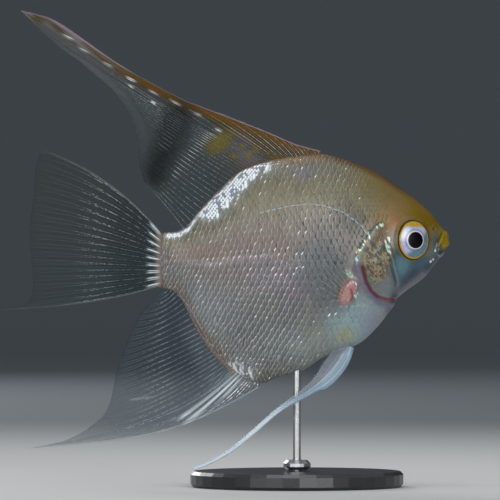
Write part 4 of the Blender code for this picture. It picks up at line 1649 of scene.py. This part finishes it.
def web(
    name: str, cells: tuple[int, int], where: Where, outwards: Across, half: Where, dress: Dress,
    rays: Across,
) -> Mesh:
    """Makes a fin's web as a thin closed sheet.

    Args:
        name: The mesh's name.
        cells: The counts of cells along the root and out from it.
        where: Gives the fin's middle surface.
        outwards: Gives unit vectors across the surface.
        half: Gives half the sheet's thickness in metres.
        dress: Gives each place its tint, cover and dashes.
        rays: Counts the ribs ahead of places on the root.

    Returns:
        The mesh.
    """
    bm = slab(*cells)
    flat = vertex_array(bm)
    t, s, layer = flat[:, 0] + 0.5, flat[:, 1] + 0.5, 2 * flat[:, 2] - 1
    centre = where(t, s)
    move_to(bm, centre + outwards(centre) * (layer * half(t, s))[:, None])
    close_outwards(bm)
    mesh = finished(bm, name)
    tint, cover, _ = dress(t, s, centre, np.zeros(t.shape))
    write_fields(mesh, {"tint": tint, "cover": np.clip(cover, 0.0, 1.0)})
    write_map(mesh, "Fin", np.stack([rays(t), s], axis=-1))
    return mesh


def sideways(points: Array) -> Array:
    """Gives the direction across a fin that lies in the middle plane."""
    return np.tile(np.array([0.0, 1.0, 0.0]), (len(points), 1))


@dataclass(frozen=True)
class Rooted:
    """A fin's root along one of the body's outlines, `inset` body lengths under it."""

    outline: Curve
    first: float
    last: float
    inset: float

    def __call__(self, t: Array) -> Array:
        """Gives the (aft, rise) places along the root."""
        aft = self.first + (self.last - self.first) * t
        return np.stack([aft, self.outline(aft) - self.inset], axis=-1)


@dataclass
class MedianFin:
    """A fin in the middle plane: dorsal, anal or tail."""

    form: Form
    looks: Looks
    name: str
    root: Across
    bend: Trace
    edge: Trace
    soft: tuple[float, float, int]
    spines: tuple[float, float, int] = (0.0, 0.0, 0)
    cells: tuple[int, int] = (240, 64)
    notch: float = 0.007
    spine_notch: float = 0.07
    ray_radius: float = 0.00009
    spine_radius: float = 0.00017
    web_half: float = 0.00004
    root_half: float = 0.0004

    def flat(self, t: Array, s: Array) -> Array:
        """Gives the fin's surface without notches."""
        point = bezier(self.root(t), self.bend(t), self.edge(t), s)
        return self.form.place(point[:, 0], point[:, 1])

    def ray_count(self, t: Array) -> Array:
        """Counts the rays ahead of each place on the root, with shares between rays."""
        low, high, count = self.soft
        first, last, few = self.spines
        soft = (t - low) / (high - low) * (count - 1)
        hard = (t - first) / max(last - first, 1e-6) * max(few - 1, 1) - few
        return np.where(t < low, hard, soft) + 0.5

    def notched(self, t: Array, s: Array) -> Array:
        """Gives the fin's surface with its web cut back between the tips of the rays."""
        soft = t > self.soft[0]
        count = self.ray_count(t)
        between = np.abs(np.where(soft, 4 * count, count) % 1.0 - 0.5) * 2
        depth = np.where(soft, self.notch, self.spine_notch)
        wave = np.cos(2 * math.pi * count) * self.web_half
        point = self.flat(t, s * (1 - depth * (0.25 + 0.75 * (1 - between))))
        point[:, 1] += wave * smooth(s, 0.0, 0.15)
        return point

    def half(self, t: Array, s: Array) -> Array:
        """Gives half the web's thickness, more at the fleshy root."""
        return self.web_half * (1.6 - s) + self.root_half * smooth(s, 0.14, 0.0)

    def dress(self, t: Array, s: Array, points: Array, ray: Array) -> Dressed:
        """Gives the tint, cover and dashes at places on the fin; `ray` is 1 on a ray and 0 on the web."""
        raise NotImplementedError

    def build(self) -> None:
        """Builds the web and the rays."""
        sheet = web(f"{self.name}_web", self.cells, self.notched, sideways, self.half, self.dress,
                    lambda t: self.ray_count(t) + RIB_START)
        add_piece(sheet, self.looks.web, [self.name])
        strands = Strands()
        first, last, few = self.spines
        for i in range(few):
            t = first + (last - first) * i / max(few - 1, 1)
            strands.add((t, t), (0.0, 1.0), (self.spine_radius, self.spine_radius * 0.35))
        low, high, count = self.soft
        for i in range(count):
            t = low + (high - low) * i / (count - 1)
            strands.branching(t, (high - low) / (count - 1), 0.992, self.ray_radius)
        rays = strands.build(f"{self.name}_rays", self.flat, sideways, self.dress)
        add_piece(rays, self.looks.ray)


DORSAL_SPOTS = (
    (1.092, 0.5735), (1.092, 0.550), (1.011, 0.527), (1.015, 0.496), (0.939, 0.495), (0.864, 0.456),
    (1.175, 0.624), (1.250, 0.669), (1.306, 0.715), (0.795, 0.405),
)
GOLDEN_SPOTS = ((0.712, 0.350), (0.742, 0.318), (0.690, 0.322), (0.668, 0.338))


@dataclass
class DorsalFin(MedianFin):
    """The dorsal fin: lilac and ochre in front, with a smoky bar and rows of white dashes."""

    def dress(self, t: Array, s: Array, points: Array, ray: Array) -> Dressed:
        """Gives the tint, cover and dashes at places on the fin."""
        aft, rise = self.form.read(points)
        edge = [(p[1], p[2]) for p in DORSAL_EDGE if p[0] <= 0.40]
        lead = np.abs(Stroke(edge, 0.01).near(aft, rise)[0])
        tint = Layers("26302f", t, s)
        tint.lay("9aa6a4", 0.8 * ray)
        spiny = smooth(t, 0.335, 0.315)
        warm = np.maximum(smooth(lead, 0.060, 0.022), spiny)
        tint.lay("4d4012", warm * (0.92 - 0.30 * ray))
        tint.lay("857a94", spiny * 0.80 * ray)
        ochre = smooth(lead, 0.004, 0.008) * smooth(lead, 0.030, 0.018) * smooth(aft, 1.30, 1.00)
        tint.lay("62450a", 0.90 * ochre * (1 - 0.35 * ray))
        far = smooth(aft, 1.06, 1.25)
        tint.lay("8a868c", 0.70 * far * (0.5 + 0.5 * np.sin(lead * 900 + aft * 30)))
        tint.lay("98878f", 0.80 * smooth(lead, 0.0060, 0.0035))
        tint.lay("6e5a36", 0.45 * smooth(s, 0.20, 0.04) * smooth(t, 0.75, 0.45) * (1 - 0.5 * ray))
        lilac = Patch(0.705, 0.335, 0.062, 0.034, turn=50, soft=0.7).weight(aft, rise)
        tint.lay("90879c", 0.80 * lilac * (0.3 + 0.7 * ray))
        golden = [Patch(*spot, 0.012, 0.009, turn=-40, soft=0.5) for spot in GOLDEN_SPOTS]
        golden.append(Patch(0.790, 0.362, 0.055, 0.034, turn=-35, soft=0.5))
        gold = most(golden, aft, rise)
        tint.lay("756708", 0.85 * gold * (1 - 0.5 * ray))
        bar = Stroke(((0.925, 0.455), (0.968, 0.345), (1.010, 0.255)), 0.060).weight(aft, rise)
        bar = bar * (1 - 0.25 * np.sin(t * 520) ** 2)
        tint.lay("080b0c", 0.97 * bar * (1 - 0.42 * ray))
        rows = (
            Stroke(((0.918, 0.462), (0.950, 0.400), (0.985, 0.330)), 0.016, fade=0.1),
            Stroke(((0.795, 0.405), (0.856, 0.361), (0.904, 0.304), (0.950, 0.235)), 0.015, fade=0.1),
        )
        bright = ray * most(rows, aft, rise)
        spots = most([Patch(*spot, 0.0070, 0.0045, turn=38, soft=0.5) for spot in DORSAL_SPOTS], aft, rise)
        tint.lay("fafbfd", spots + 0.85 * bright)
        cover = 0.20 + 0.20 * ray * smooth(s, 1.05, 0.55)
        thick = 0.36 * warm + 0.5 * smooth(lead, 0.036, 0.018) + spiny * 0.50
        thick = thick * (1 - 0.30 * far * smooth(lead, 0.010, 0.020))
        cover = np.max([cover, thick, 0.86 * bar, 0.60 * gold, 0.85 * spots, 0.9 * bright], axis=0)
        cover = cover + 0.25 * smooth(s, 0.20, 0.04) * smooth(t, 0.85, 0.50) + 0.25 * lilac
        dash = 0.25 * ray * smooth(s, 1.0, 0.5) + 0.6 * bright
        return tint.colour, cover, dash


@dataclass
class AnalFin(MedianFin):
    """The anal fin: clear behind, with pale double rays and silver streaks low in front."""

    def dress(self, t: Array, s: Array, points: Array, ray: Array) -> Dressed:
        """Gives the tint, cover and dashes at places on the fin."""
        aft, rise = self.form.read(points)
        edge = [(p[1], p[2]) for p in ANAL_EDGE if p[0] <= 0.25]
        lead = np.abs(Stroke(edge, 0.01).near(aft, rise)[0])
        low = smooth(t, 0.42, 0.15)
        tint = Layers("27323a", t, s)
        tint.lay("a5b6be", 0.85 * ray)
        tint.lay("77848f", 0.5 * low)
        tint.lay("1c2a3c", 0.7 * smooth(s, 0.50, 0.08) * (1 - ray) * smooth(t, 0.2, 0.4))
        fleshy = np.maximum(smooth(s, 0.055, 0.025), 0.70 * smooth(t, 0.16, 0.08) * smooth(s, 0.50, 0.25))
        tint.lay("7b6d64", fleshy * (1 - 0.4 * ray))
        foot = smooth(s, 0.24, 0.12) * smooth(s, 0.02, 0.05) * smooth(t, 0.88, 0.60)
        foot = foot * smooth(np.sin(s * 90 + 9 * self.ray_count(t)), 0.0, 0.8)
        long = ((0.705, -0.410), (0.760, -0.460), (0.815, -0.505), (0.875, -0.548), (0.945, -0.582))
        short = Stroke(((1.005, -0.492), (1.110, -0.506)), 0.004, fade=0.3).weight(aft, rise)
        streak = Stroke(long, 0.022, fade=0.15).weight(aft, rise)
        streak = streak * smooth(np.sin(6.3 * self.ray_count(t) + s * 14), -0.6, 0.5)
        streak = np.maximum(streak, 0.4 * short)
        tint.lay("cfe3ee", 0.85 * foot * (0.3 + 0.7 * ray))
        tint.lay("e8f4f6", 0.90 * streak + 0.35 * smooth(lead, 0.007, 0.003))
        cover = 0.24 + 0.20 * ray * smooth(s, 1.1, 0.6) + 0.22 * low * smooth(s, 1.0, 0.35)
        cover = cover + 0.10 * smooth(s, 0.5, 0.2)
        rim = 0.65 * smooth(lead, 0.010, 0.003)
        cover = np.max([cover, 0.90 * fleshy, 0.85 * streak, 0.8 * foot * ray, rim], axis=0)
        dash = ray * (0.45 + 0.45 * low) * smooth(s, 0.85, 0.45)
        return tint.colour, cover, dash


@dataclass
class TailFin(MedianFin):
    """The tail fin: a clear fan with white and amber dashes on its rays."""

    def dress(self, t: Array, s: Array, points: Array, ray: Array) -> Dressed:
        """Gives the tint, cover and dashes at places on the fin."""
        tint = Layers("232e2a", t, s)
        tint.lay("87969a", 0.85 * ray)
        amber = np.sin(s * 150 + t * 60) * 0.5 + 0.5
        tint.lay("c49a6c", 0.70 * ray * amber * smooth(t, 0.75, 0.30) * smooth(s, 0.10, 0.25))
        tint.lay("07191f", 0.85 * smooth(s, 0.70, 0.15) * (1 - ray))
        rim = np.maximum(smooth(t, 0.020, 0.005), smooth(t, 0.980, 0.995)) * smooth(s, 1.3, 0.3)
        tint.lay("98a5a6", 0.55 * rim)
        root = smooth(s, 0.075, 0.035)
        tint.lay("7c6d66", root)
        pair = np.abs((0.5 * self.ray_count(t)) % 1.0 - 0.5)
        flash = smooth(pair, 0.26, 0.15) * smooth(s, 0.13, 0.09) * smooth(s, 0.015, 0.045)
        flash = flash * (0.55 + 0.45 * np.sin(9.0 * self.ray_count(t) + 1.0))
        tint.lay("e4f6f8", flash)
        cover = 0.20 + 0.18 * ray * smooth(s, 0.80, 0.4) + 0.35 * rim
        cover = cover + 0.36 * smooth(s, 0.60, 0.12) * (1 - 0.4 * ray)
        cover = np.maximum(cover, np.maximum(root, flash))
        dash = ray * (0.55 + 0.40 * smooth(t, 0.6, 0.3)) * smooth(s, 0.80, 0.45)
        return tint.colour, cover, dash


@dataclass
class PectoralFin:
    """A clear fan behind the gill cover, on a fleshy pink root."""

    form: Form
    looks: Looks
    side: Side
    splay: float = math.tan(math.radians(14))
    stand_off: float = 0.0010
    rays: int = 9
    ray_radii: tuple[float, float] = (0.00009, 0.00004)
    web_half: float = 0.00004

    def where(self, t: Array, s: Array) -> Array:
        """Gives the fan's middle surface."""
        root = PECTORAL_LINES[0](t)
        point = bezier(root, PECTORAL_LINES[1](t), PECTORAL_LINES[2](t), s)
        away = np.linalg.norm(point - root, axis=-1) * self.form.length
        lift = self.stand_off * np.minimum(1.0, away / 0.002) - 0.0003 + away * self.splay
        y = self.side.value * (self.form.flank(point[:, 0], point[:, 1]) + lift)
        return self.form.place(point[:, 0], point[:, 1], y)

    def outwards(self, points: Array) -> Array:
        """Gives the direction across the fan."""
        return np.tile(np.array([0.22, self.side.value * 0.975, 0.0]), (len(points), 1))

    def dress(self, t: Array, s: Array, points: Array, ray: Array) -> Dressed:
        """Gives the tint, cover and dashes at places on the fan."""
        tint = Layers("7f8688", t, s)
        tint.lay("b3a97e", 0.8 * ray)
        pink = smooth(s, 0.17, 0.07)
        tint.lay("b98880", pink)
        cover = 0.03 + 0.34 * ray + 0.6 * pink * (0.4 + 0.6 * ray)
        return tint.colour, cover, 0.15 * ray

    def build(self) -> None:
        """Builds the web and the rays."""
        label = self.side.label
        sheet = web(f"pectoral_web_{label}", (120, 40), self.where, self.outwards,
                    lambda t, s: self.web_half + 0 * t, self.dress, lambda t: t * (self.rays - 1))
        add_piece(sheet, self.looks.web, [f"pectoral_fin_{label}"])
        strands = Strands()
        for i in range(self.rays):
            t = 0.02 + 0.96 * i / (self.rays - 1)
            strands.add((t, t), (0.0, 0.97), self.ray_radii)
        rays = strands.build(f"pectoral_rays_{label}", self.where, self.outwards, self.dress)
        add_piece(rays, self.looks.ray)


@dataclass
class PelvicFin:
    """A bluish-white blade that runs out into a long feeler, with a faint web behind its root."""

    form: Form
    looks: Looks
    side: Side
    ribs: int = 9
    web_half: float = 0.00004
    blade_half: float = 0.00034
    front: Curve = field(default_factory=lambda: Curve(PELVIC_FRONT))
    rear: Curve = field(default_factory=lambda: Curve(PELVIC_REAR))
    spread: Curve = field(default_factory=lambda: Curve(PELVIC_SPREAD))
    line: Trace = field(default_factory=lambda: Trace(PELVIC_LINE))

    def where(self, t: Array, s: Array) -> Array:
        """Gives the blade's middle surface."""
        here = self.line(s)
        run = unit(self.line(np.minimum(1.0, s + 0.02)) - self.line(np.minimum(0.98, s)))
        across = np.stack([-run[:, 1], run[:, 0]], axis=-1)
        width = np.where(t > 0.5, self.rear(s), self.front(s)) * (2 * t - 1)
        point = here + across * width[:, None]
        apart = self.spread(s)
        lead = PELVIC_LEAD * apart * np.minimum(1.0, 4 * s) * (self.side is Side.LEFT)
        return self.form.place(point[:, 0] - lead, point[:, 1], self.side.value * apart * self.form.length)

    def half(self, t: Array, s: Array) -> Array:
        """Gives half the thickness: a rounded blade, a thin web behind it and a round feeler."""
        blade = np.sqrt(np.clip(1 - ((t - 0.36) / 0.37) ** 2, 0.0, 1.0))
        feeler = np.sqrt(np.clip(1 - (2 * t - 1) ** 2, 0.0, 1.0))
        shape = blade * smooth(s, 0.60, 0.45) + feeler * smooth(s, 0.45, 0.60)
        thick = self.blade_half * smooth(s, -0.05, 0.06) * (1 - 0.35 * s) * smooth(s, 1.02, 0.97)
        ribs = np.cos(t * 2 * math.pi * self.ribs) * smooth(s, 0.02, 0.10) * smooth(s, 0.55, 0.40)
        return self.web_half + thick * shape * (1 + 0.15 * ribs)

    def dress(self, t: Array, s: Array, points: Array, ray: Array) -> Dressed:
        """Gives the tint, cover and dashes at places on the blade."""
        tint = Layers("839fb0", t, s)
        edge = np.maximum(smooth(t, 0.10, 0.0), smooth(t, 0.55, 0.68) * smooth(s, 0.5, 0.3))
        tint.lay("9b8790", 0.50 * edge)
        ribs = 0.5 + 0.5 * np.cos(t * 2 * math.pi * self.ribs)
        tint.lay("64808f", 0.6 * ribs * smooth(s, 0.55, 0.40))
        tint.lay("b6cdd8", 0.6 * smooth(np.abs(t - 0.35), 0.12, 0.0) * smooth(s, 0.6, 0.4))
        tint.lay("d3dfe9", 0.9 * smooth(s, 0.36, 0.62))
        faint = smooth(t, 0.66, 0.80) * smooth(s, 0.52, 0.44)
        return tint.colour, 1.0 - 0.72 * faint, 0 * t

    def build(self) -> None:
        """Builds the blade."""
        label = self.side.label
        sheet = web(f"pelvic_blade_{label}", (48, 220), self.where, sideways, self.half, self.dress,
                    lambda t: t * self.ribs)
        add_piece(sheet, self.looks.blade, [f"pelvic_fin_{label}"])


@dataclass
class Eye:
    """One eye: a lens-shaped ball, flat against the cheek and turned forwards, in a golden fold."""

    form: Form
    relief: Relief
    looks: Looks
    side: Side
    radius_long: float = 0.0630
    radius_tall: float = 0.0685
    depth: float = 0.027
    sunk: float = 0.011
    turn: float = math.radians(15)
    fold_radius: float = 0.00013
    fold_at: float = 0.99

    def build(self) -> None:
        """Builds the ball and its fold."""
        label = self.side.label
        bm = ball_mesh(96, 48)
        ball = vertex_array(bm)
        size = Vector((self.radius_long, self.radius_tall, self.depth)) * self.form.length
        bmesh.ops.scale(bm, vec=size, verts=bm.verts)
        hand = self.side.value
        facing = Euler((hand * -math.pi / 2, 0, hand * -self.turn)).to_matrix()
        bmesh.ops.rotate(bm, matrix=facing, verts=bm.verts)
        cheek = self.form.flank(EYE_AFT, EYE_RISE) - self.sunk * self.form.length
        centre = self.form.place(EYE_AFT, EYE_RISE, hand * cheek)
        bmesh.ops.translate(bm, vec=Vector(centre), verts=bm.verts)
        mesh = finished(bm, f"eyeball_{label}")
        turned = ball @ np.array(facing.transposed())
        ahead = turned[:, 0] * math.cos(self.turn) + turned[:, 1] * math.sin(self.turn) * -hand
        write_map(mesh, "Face", np.stack([0.5 + 0.5 * ahead, 0.5 + 0.5 * turned[:, 2]], axis=-1))
        add_piece(mesh, self.looks.ball, [f"eye_{label}"])
        self._fold(label)

    def _fold(self, label: str) -> None:
        """Lays a golden ring where the skin closes on the ball."""
        bm = bmesh.new()
        bmesh.ops.create_grid(bm, x_segments=96, y_segments=12, size=0.5)
        flat = vertex_array(bm)
        around, along = (flat[:, 1] + 0.5) * 2 * math.pi, (flat[:, 0] + 0.5) * 2 * math.pi
        aft = EYE_AFT - self.fold_at * self.relief.orbit_long * np.cos(along)
        rise = EYE_RISE + self.fold_at * self.relief.orbit_tall * np.sin(along)
        wide = self.fold_radius * (1 + 0.9 * smooth(np.sin(along), 0.3, 1.0))
        centre = self.form.place(aft, rise, self.side.value * self.form.flank(aft, rise))
        out = unit(np.array([0.30, self.side.value, 0.0]))
        radial = np.stack([np.cos(along), 0 * along, np.sin(along)], axis=-1)
        radial = unit(radial - out * (radial @ out)[:, None])
        high = (0.00012 + 0.00016 * np.cos(along) ** 2)[:, None]
        section = radial * np.cos(around)[:, None] + out * np.sin(around)[:, None] * 0.8
        move_to(bm, centre + out * high + wide[:, None] * section)
        bmesh.ops.remove_doubles(bm, verts=bm.verts, dist=1e-7)
        bmesh.ops.recalc_face_normals(bm, faces=bm.faces)
        close_outwards(bm)
        add_piece(finished(bm, f"eye_fold_{label}"), self.looks.fold)


@dataclass
class Stand:
    """The display stand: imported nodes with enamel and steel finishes."""

    nodes: dict[str, bpy.types.Object]

    def dress(self) -> None:
        """Gives the base its enamel and the rod and collar their steel."""
        enamel, steel = EnamelFinish().material(), SteelFinish().material()
        for name, look in (("stand_base", enamel), ("stand_rod", steel), ("stand_collar", steel)):
            node = self.nodes[name]
            for slot in node.material_slots:
                slot.material = look
            LOG.info("%s: finished", name)


@dataclass
class Studio:
    """A plain pale floor that sweeps up all round, soft lights and a long lens."""

    azimuth: float = math.radians(-10)
    distance: float = 1.5
    view_width: float = 0.1265
    aim_aft: float = 0.685
    floor_radius: float = 1.9
    wall_height: float = 2.2
    wall_depth: float = 1.4
    wall_steps: int = 24
    sensor: float = 36.0

    def build(self, form: Form) -> None:
        """Builds the stage, the lights and the camera."""
        aim = Vector(form.place(self.aim_aft, 0.0))
        self._stage()
        self._camera(aim)
        for light in (
            ("key", (0.22, -1.42, 0.24), 0.80, 14.5),
            ("fill", (-0.95, -1.05, 0.05), 0.90, 8.0),
            ("top", (-0.10, -0.05, 1.30), 0.60, 3.0),
            ("back", (-0.30, 1.15, 0.50), 0.50, 5.0),
        ):
            self._light(aim, *light)
        self._air()
        bpy.context.scene.view_settings.view_transform = "Standard"

    def _air(self) -> None:
        """Fills the studio with faint bluish light."""
        world = bpy.data.worlds.new("studio_air")
        world.use_nodes = True
        air = world.node_tree.nodes["Background"]
        air.inputs["Color"].default_value = (0.80, 0.86, 0.95, 1.0)
        air.inputs["Strength"].default_value = 0.45
        bpy.context.scene.world = world

    def _stage(self) -> None:
        """Spins a profile into a floor with a curved wall, open above."""
        bm = bmesh.new()
        profile = [(0.0, 0.0), (0.5, 0.0), (1.2, 0.0), (self.floor_radius, 0.0)]
        for turn in np.linspace(0.0, math.pi / 2, self.wall_steps + 1)[1:]:
            out, up = self.wall_depth * math.sin(turn), self.wall_height * (1 - math.cos(turn))
            profile.append((self.floor_radius + out, up))
        verts = [bm.verts.new((radius, 0.0, height)) for radius, height in profile]
        edges = [bm.edges.new(pair) for pair in zip(verts, verts[1:])]
        bmesh.ops.spin(bm, geom=verts + edges, cent=(0, 0, 0), axis=(0, 0, 1), angle=2 * math.pi, steps=96,
                       use_merge=True)
        bmesh.ops.remove_doubles(bm, verts=bm.verts, dist=1e-6)
        bmesh.ops.recalc_face_normals(bm, faces=bm.faces)
        stage = bpy.data.objects.new("studio_floor", finished(bm, "studio_floor"))
        bpy.context.scene.collection.objects.link(stage)
        look = Paints("studio_paper")
        away = look.length(*look.split(look.places))
        grey = look.mix(away.rise(0.08, 0.62), "dcdcd8", "666c70")
        grey = look.mix(look.noise(0.004, 2.0) * 0.06, grey, (0.0, 0.0, 0.0))
        stage.data.materials.append(look.finish(Base_Color=grey, Roughness=0.85))
        stage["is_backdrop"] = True

    def _camera(self, aim: Vector) -> None:
        """Sets a long lens level with the fish, a little towards its tail."""
        lens = bpy.data.cameras.new("camera")
        lens.sensor_width = self.sensor
        lens.lens = self.sensor * self.distance / self.view_width
        lens.clip_start = 0.05
        camera = bpy.data.objects.new("camera", lens)
        back = Vector((math.sin(self.azimuth), -math.cos(self.azimuth), 0.0))
        camera.location = aim + back * self.distance
        camera.rotation_euler = (-back).to_track_quat("-Z", "Y").to_euler()
        bpy.context.scene.collection.objects.link(camera)
        bpy.context.scene.camera = camera

    def _light(
        self, aim: Vector, name: str, place: tuple[float, float, float], size: float, power: float
    ) -> None:
        """Hangs one soft square light that looks at the fish."""
        lamp = bpy.data.lights.new(name, "AREA")
        lamp.size = size
        lamp.energy = power
        holder = bpy.data.objects.new(name, lamp)
        holder.location = place
        holder.rotation_euler = (aim - Vector(place)).to_track_quat("-Z", "Y").to_euler()
        bpy.context.scene.collection.objects.link(holder)


def corners() -> list[list[float]]:
    """Gives the whole model's lowest and highest corners as plain lists."""
    return [[float(value) for value in corner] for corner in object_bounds()]


def main() -> None:
    """Builds the fish, its stand and the studio."""
    logging.basicConfig(level=logging.INFO, format="%(message)s")
    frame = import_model()
    form = Form()
    relief = Relief(form)
    markings = Markings(form, relief)

    finishes = (WebFinish(), RayFinish(), BladeFinish(), EyeFinish(), RimFinish())
    looks = Looks(*(finish.material() for finish in finishes))
    skin = Skin(form, relief, markings).build()
    ScaleCoat(form, relief, markings).build()
    LateralLine(form, relief, markings).build(skin.active_material)

    dorsal = Rooted(form.back, *DORSAL_ROOT, 0.020), Trace(DORSAL_BEND), Trace(DORSAL_EDGE)
    anal = Rooted(form.belly, *ANAL_ROOT, -0.020), Trace(ANAL_BEND), Trace(ANAL_EDGE)
    tail = Trace(TAIL_ROOT), Trace(TAIL_BEND), Trace(TAIL_EDGE)
    DorsalFin(form, looks, "dorsal_fin", *dorsal, soft=(0.333, 1.0, 27), spines=(0.015, 0.305, 12)).build()
    AnalFin(form, looks, "anal_fin", *anal, soft=(0.155, 0.99, 28), spines=(0.01, 0.125, 6)).build()
    TailFin(form, looks, "tail_fin", *tail, soft=(0.02, 0.98, 18), root_half=0.0007).build()
    for side in Side:
        PectoralFin(form, looks, side).build()
        PelvicFin(form, looks, side).build()
        Eye(form, relief, looks, side).build()
    Stand(frame["nodes"]).dress()
    Studio().build(form)


if __name__ == "__main__":
    main()
